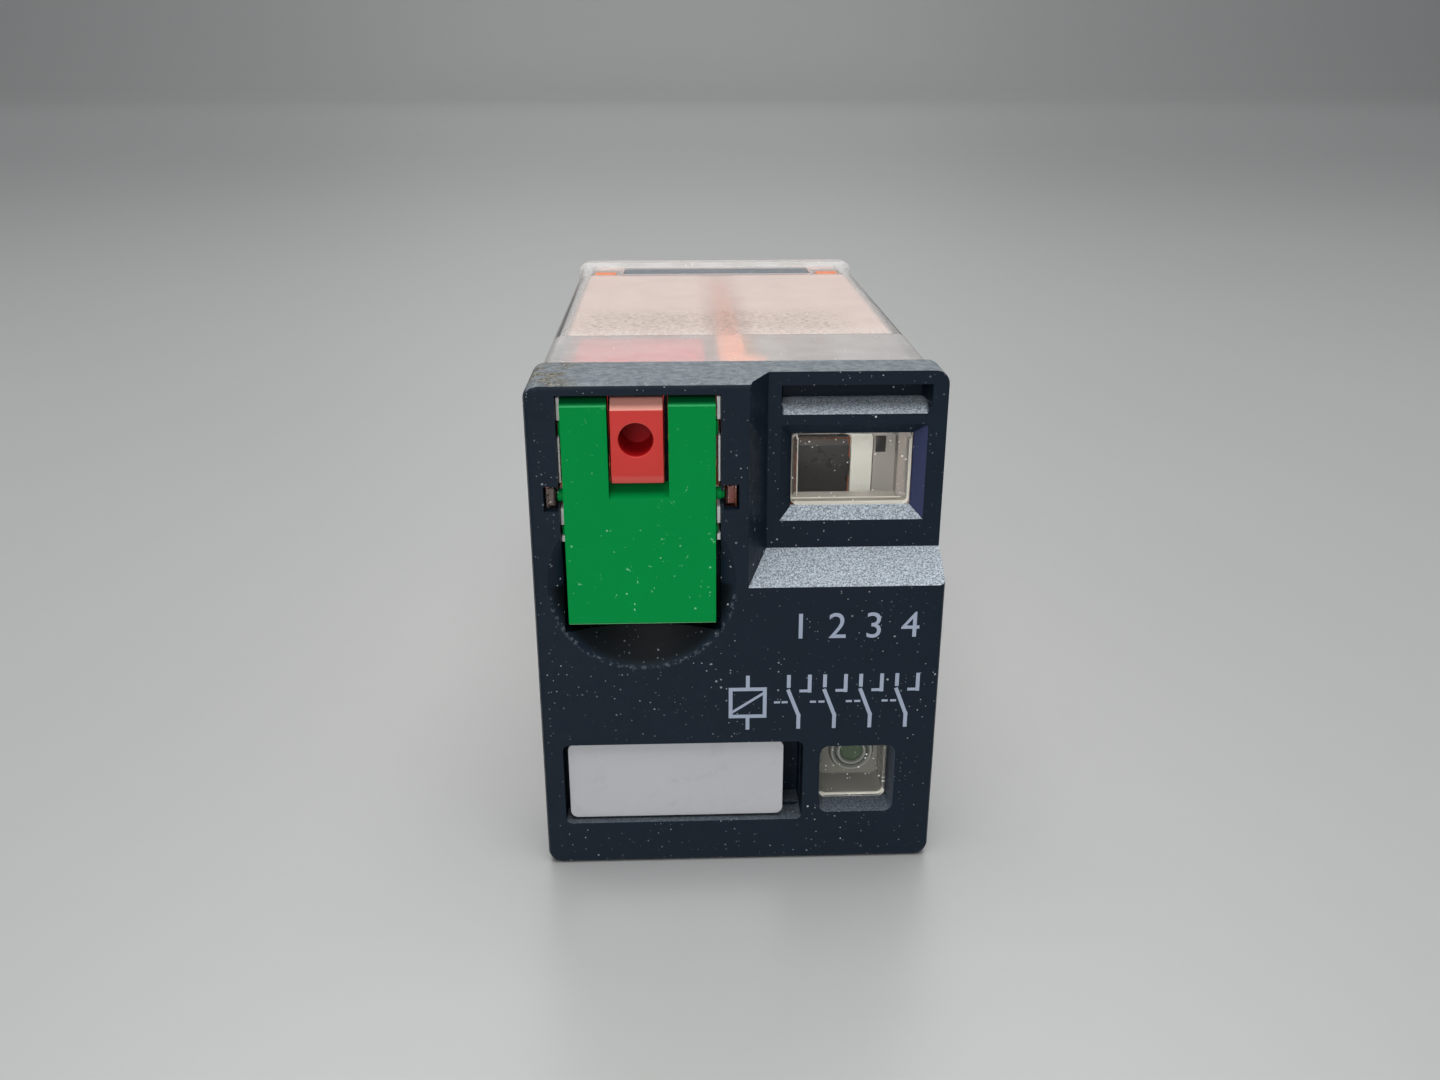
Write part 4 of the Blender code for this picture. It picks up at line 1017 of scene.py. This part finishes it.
def return_spring():
    """Tension spring with a hook at each end, from the armature's tail to the yoke's lug."""
    height, radius, turns, per_turn = 1.85, 0.5, 14, 20
    start, end = 16.3, 22.8
    coils = []
    for i in range(turns * per_turn + 1):
        angle = math.pi / 2 + 2 * math.pi * i / per_turn
        coils.append((radius * math.cos(angle), start + (end - start) * i / (turns * per_turn),
                      height + radius * math.sin(angle)))
    path = [(0, 15.55, height), (0, 15.8, height + 0.1), (0, 16.1, height + 0.4), *coils,
            (0, 23.0, height + 0.35), (0, 23.3, height + 0.05), (0, 23.55, height)]
    spring = thing("return_spring_wire", swept(path, 0.11, 8))
    spring.data.shade_smooth()
    spring.data.materials.append(FINISHES["steel"])
    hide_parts("return_spring")
    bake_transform(spring)


def pigtails():
    """Braided leads from the foot of each contact spring, round the coil, to its terminal."""
    outer = [(6.6, 11.7, 9.2), (7.8, 11.9, 8.9), (8.5, 13.2, 9.0), (8.75, 15.5, 10.4), (8.75, 20, 11.2),
             (8.75, 29, 11.2), (8.5, 32.5, 11.0), (7.8, 34.6, 10.2), (7.0, 34.8, 9.6)]
    inner = [(2.2, 11.7, 9.2), (3.4, 11.5, 8.5), (5.5, 12.2, 7.9), (8.0, 12.7, 7.5), (8.75, 15, 7.2),
             (8.75, 20, 7.0), (8.75, 29, 7.0), (8.6, 32.5, 7.2), (7.4, 34.7, 7.7), (5.2, 34.75, 8.1),
             (3.4, 34.75, 8.8), (2.6, 34.8, 9.4)]
    for number, (side, route) in enumerate(((-1, outer), (-1, inner), (1, inner), (1, outer)), 1):
        path = smooth_path([(side * x, depth, height) for x, depth, height in route], 0.3)
        lead = thing(f"braid_{number}", braided(path, 0.3, 4, 1.6))
        lead.data.shade_smooth()
        lead.data.materials.append(FINISHES["copper"])
        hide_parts(f"pigtail_{number}")
        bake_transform(lead)


# ---------------------------------------------------------------- stage

def stage():
    """Pale floor that sweeps up into a backdrop, and soft lights."""
    half, near, far, sweep = 3.0, -2.0, 1.6, 0.6
    profile = [(near, 0.0), (far, 0.0)]
    profile += [(far + sweep * math.sin(math.radians(a)), sweep * (1 - math.cos(math.radians(a))))
                for a in range(10, 91, 10)]
    profile.append((far + sweep, 3.0))
    bm = bmesh.new()
    rows = [[bm.verts.new((x, y, z)) for y, z in profile] for x in (-half, half)]
    for i in range(len(profile) - 1):
        bm.faces.new((rows[0][i], rows[1][i], rows[1][i + 1], rows[0][i + 1]))
    floor = thing("floor", bm)
    floor.data.shade_smooth()
    finish = Finish("floor_paint", (0.56, 0.565, 0.56), 0.37, metallic=0.32, mottle=0.01, grain=0.1,
                    depth=0.2)
    finish.rough = finish.span(finish.noise(0.02, 1), 0.3, 0.7, 0.36, 0.38)
    floor.data.materials.append(finish.done())

    world = bpy.data.worlds.new("studio")
    bpy.context.scene.world = world
    world.use_nodes = True
    background = world.node_tree.nodes["Background"]
    background.inputs["Color"].default_value = (0.86, 0.88, 0.92, 1)
    background.inputs["Strength"].default_value = 0.22
    lamp("top_softbox", (0.0, -0.06, 0.42), (0.0, 0.0, 0.01), 0.42, 1.9)
    lamp("front_fill", (-0.10, -0.55, 0.20), (0.0, -0.02, 0.015), 0.25, 0.85)
    lamp("backdrop_wash", (0.0, 1.2, 1.3), (0.0, 2.0, 0.2), 1.5, 9.0)
    bpy.context.scene.view_settings.view_transform = 'Standard'


def lamp(name, location, target, size, power):
    light = bpy.data.lights.new(name, 'AREA')
    light.size = size
    light.energy = power
    result = bpy.data.objects.new(name, light)
    result.location = location
    result.rotation_euler = (Vector(target) - Vector(location)).to_track_quat('-Z', 'Y').to_euler()
    bpy.context.scene.collection.objects.link(result)


def camera():
    data = bpy.data.cameras.new("camera")
    data.sensor_width = 36
    data.lens = 30.77
    data.clip_start = 0.001
    result = bpy.data.objects.new("camera", data)
    result.location = place(-3.18, -57.32, 41.09)
    pitch, turn = 21.05, 2.12
    result.rotation_euler = (math.radians(90 - pitch), 0, math.radians(-turn))
    bpy.context.scene.collection.objects.link(result)
    bpy.context.scene.camera = result


front_plate()
clear_cover()
flag_window()
led_window()
hinge_lugs()
cover_cheeks()
legend_tab()
test_door()
test_button()
pole_numbers()
wiring_mark()
position_flag()
led()
mechanism()
rear_sealant()
return_spring()
pigtails()
stage()
camera()
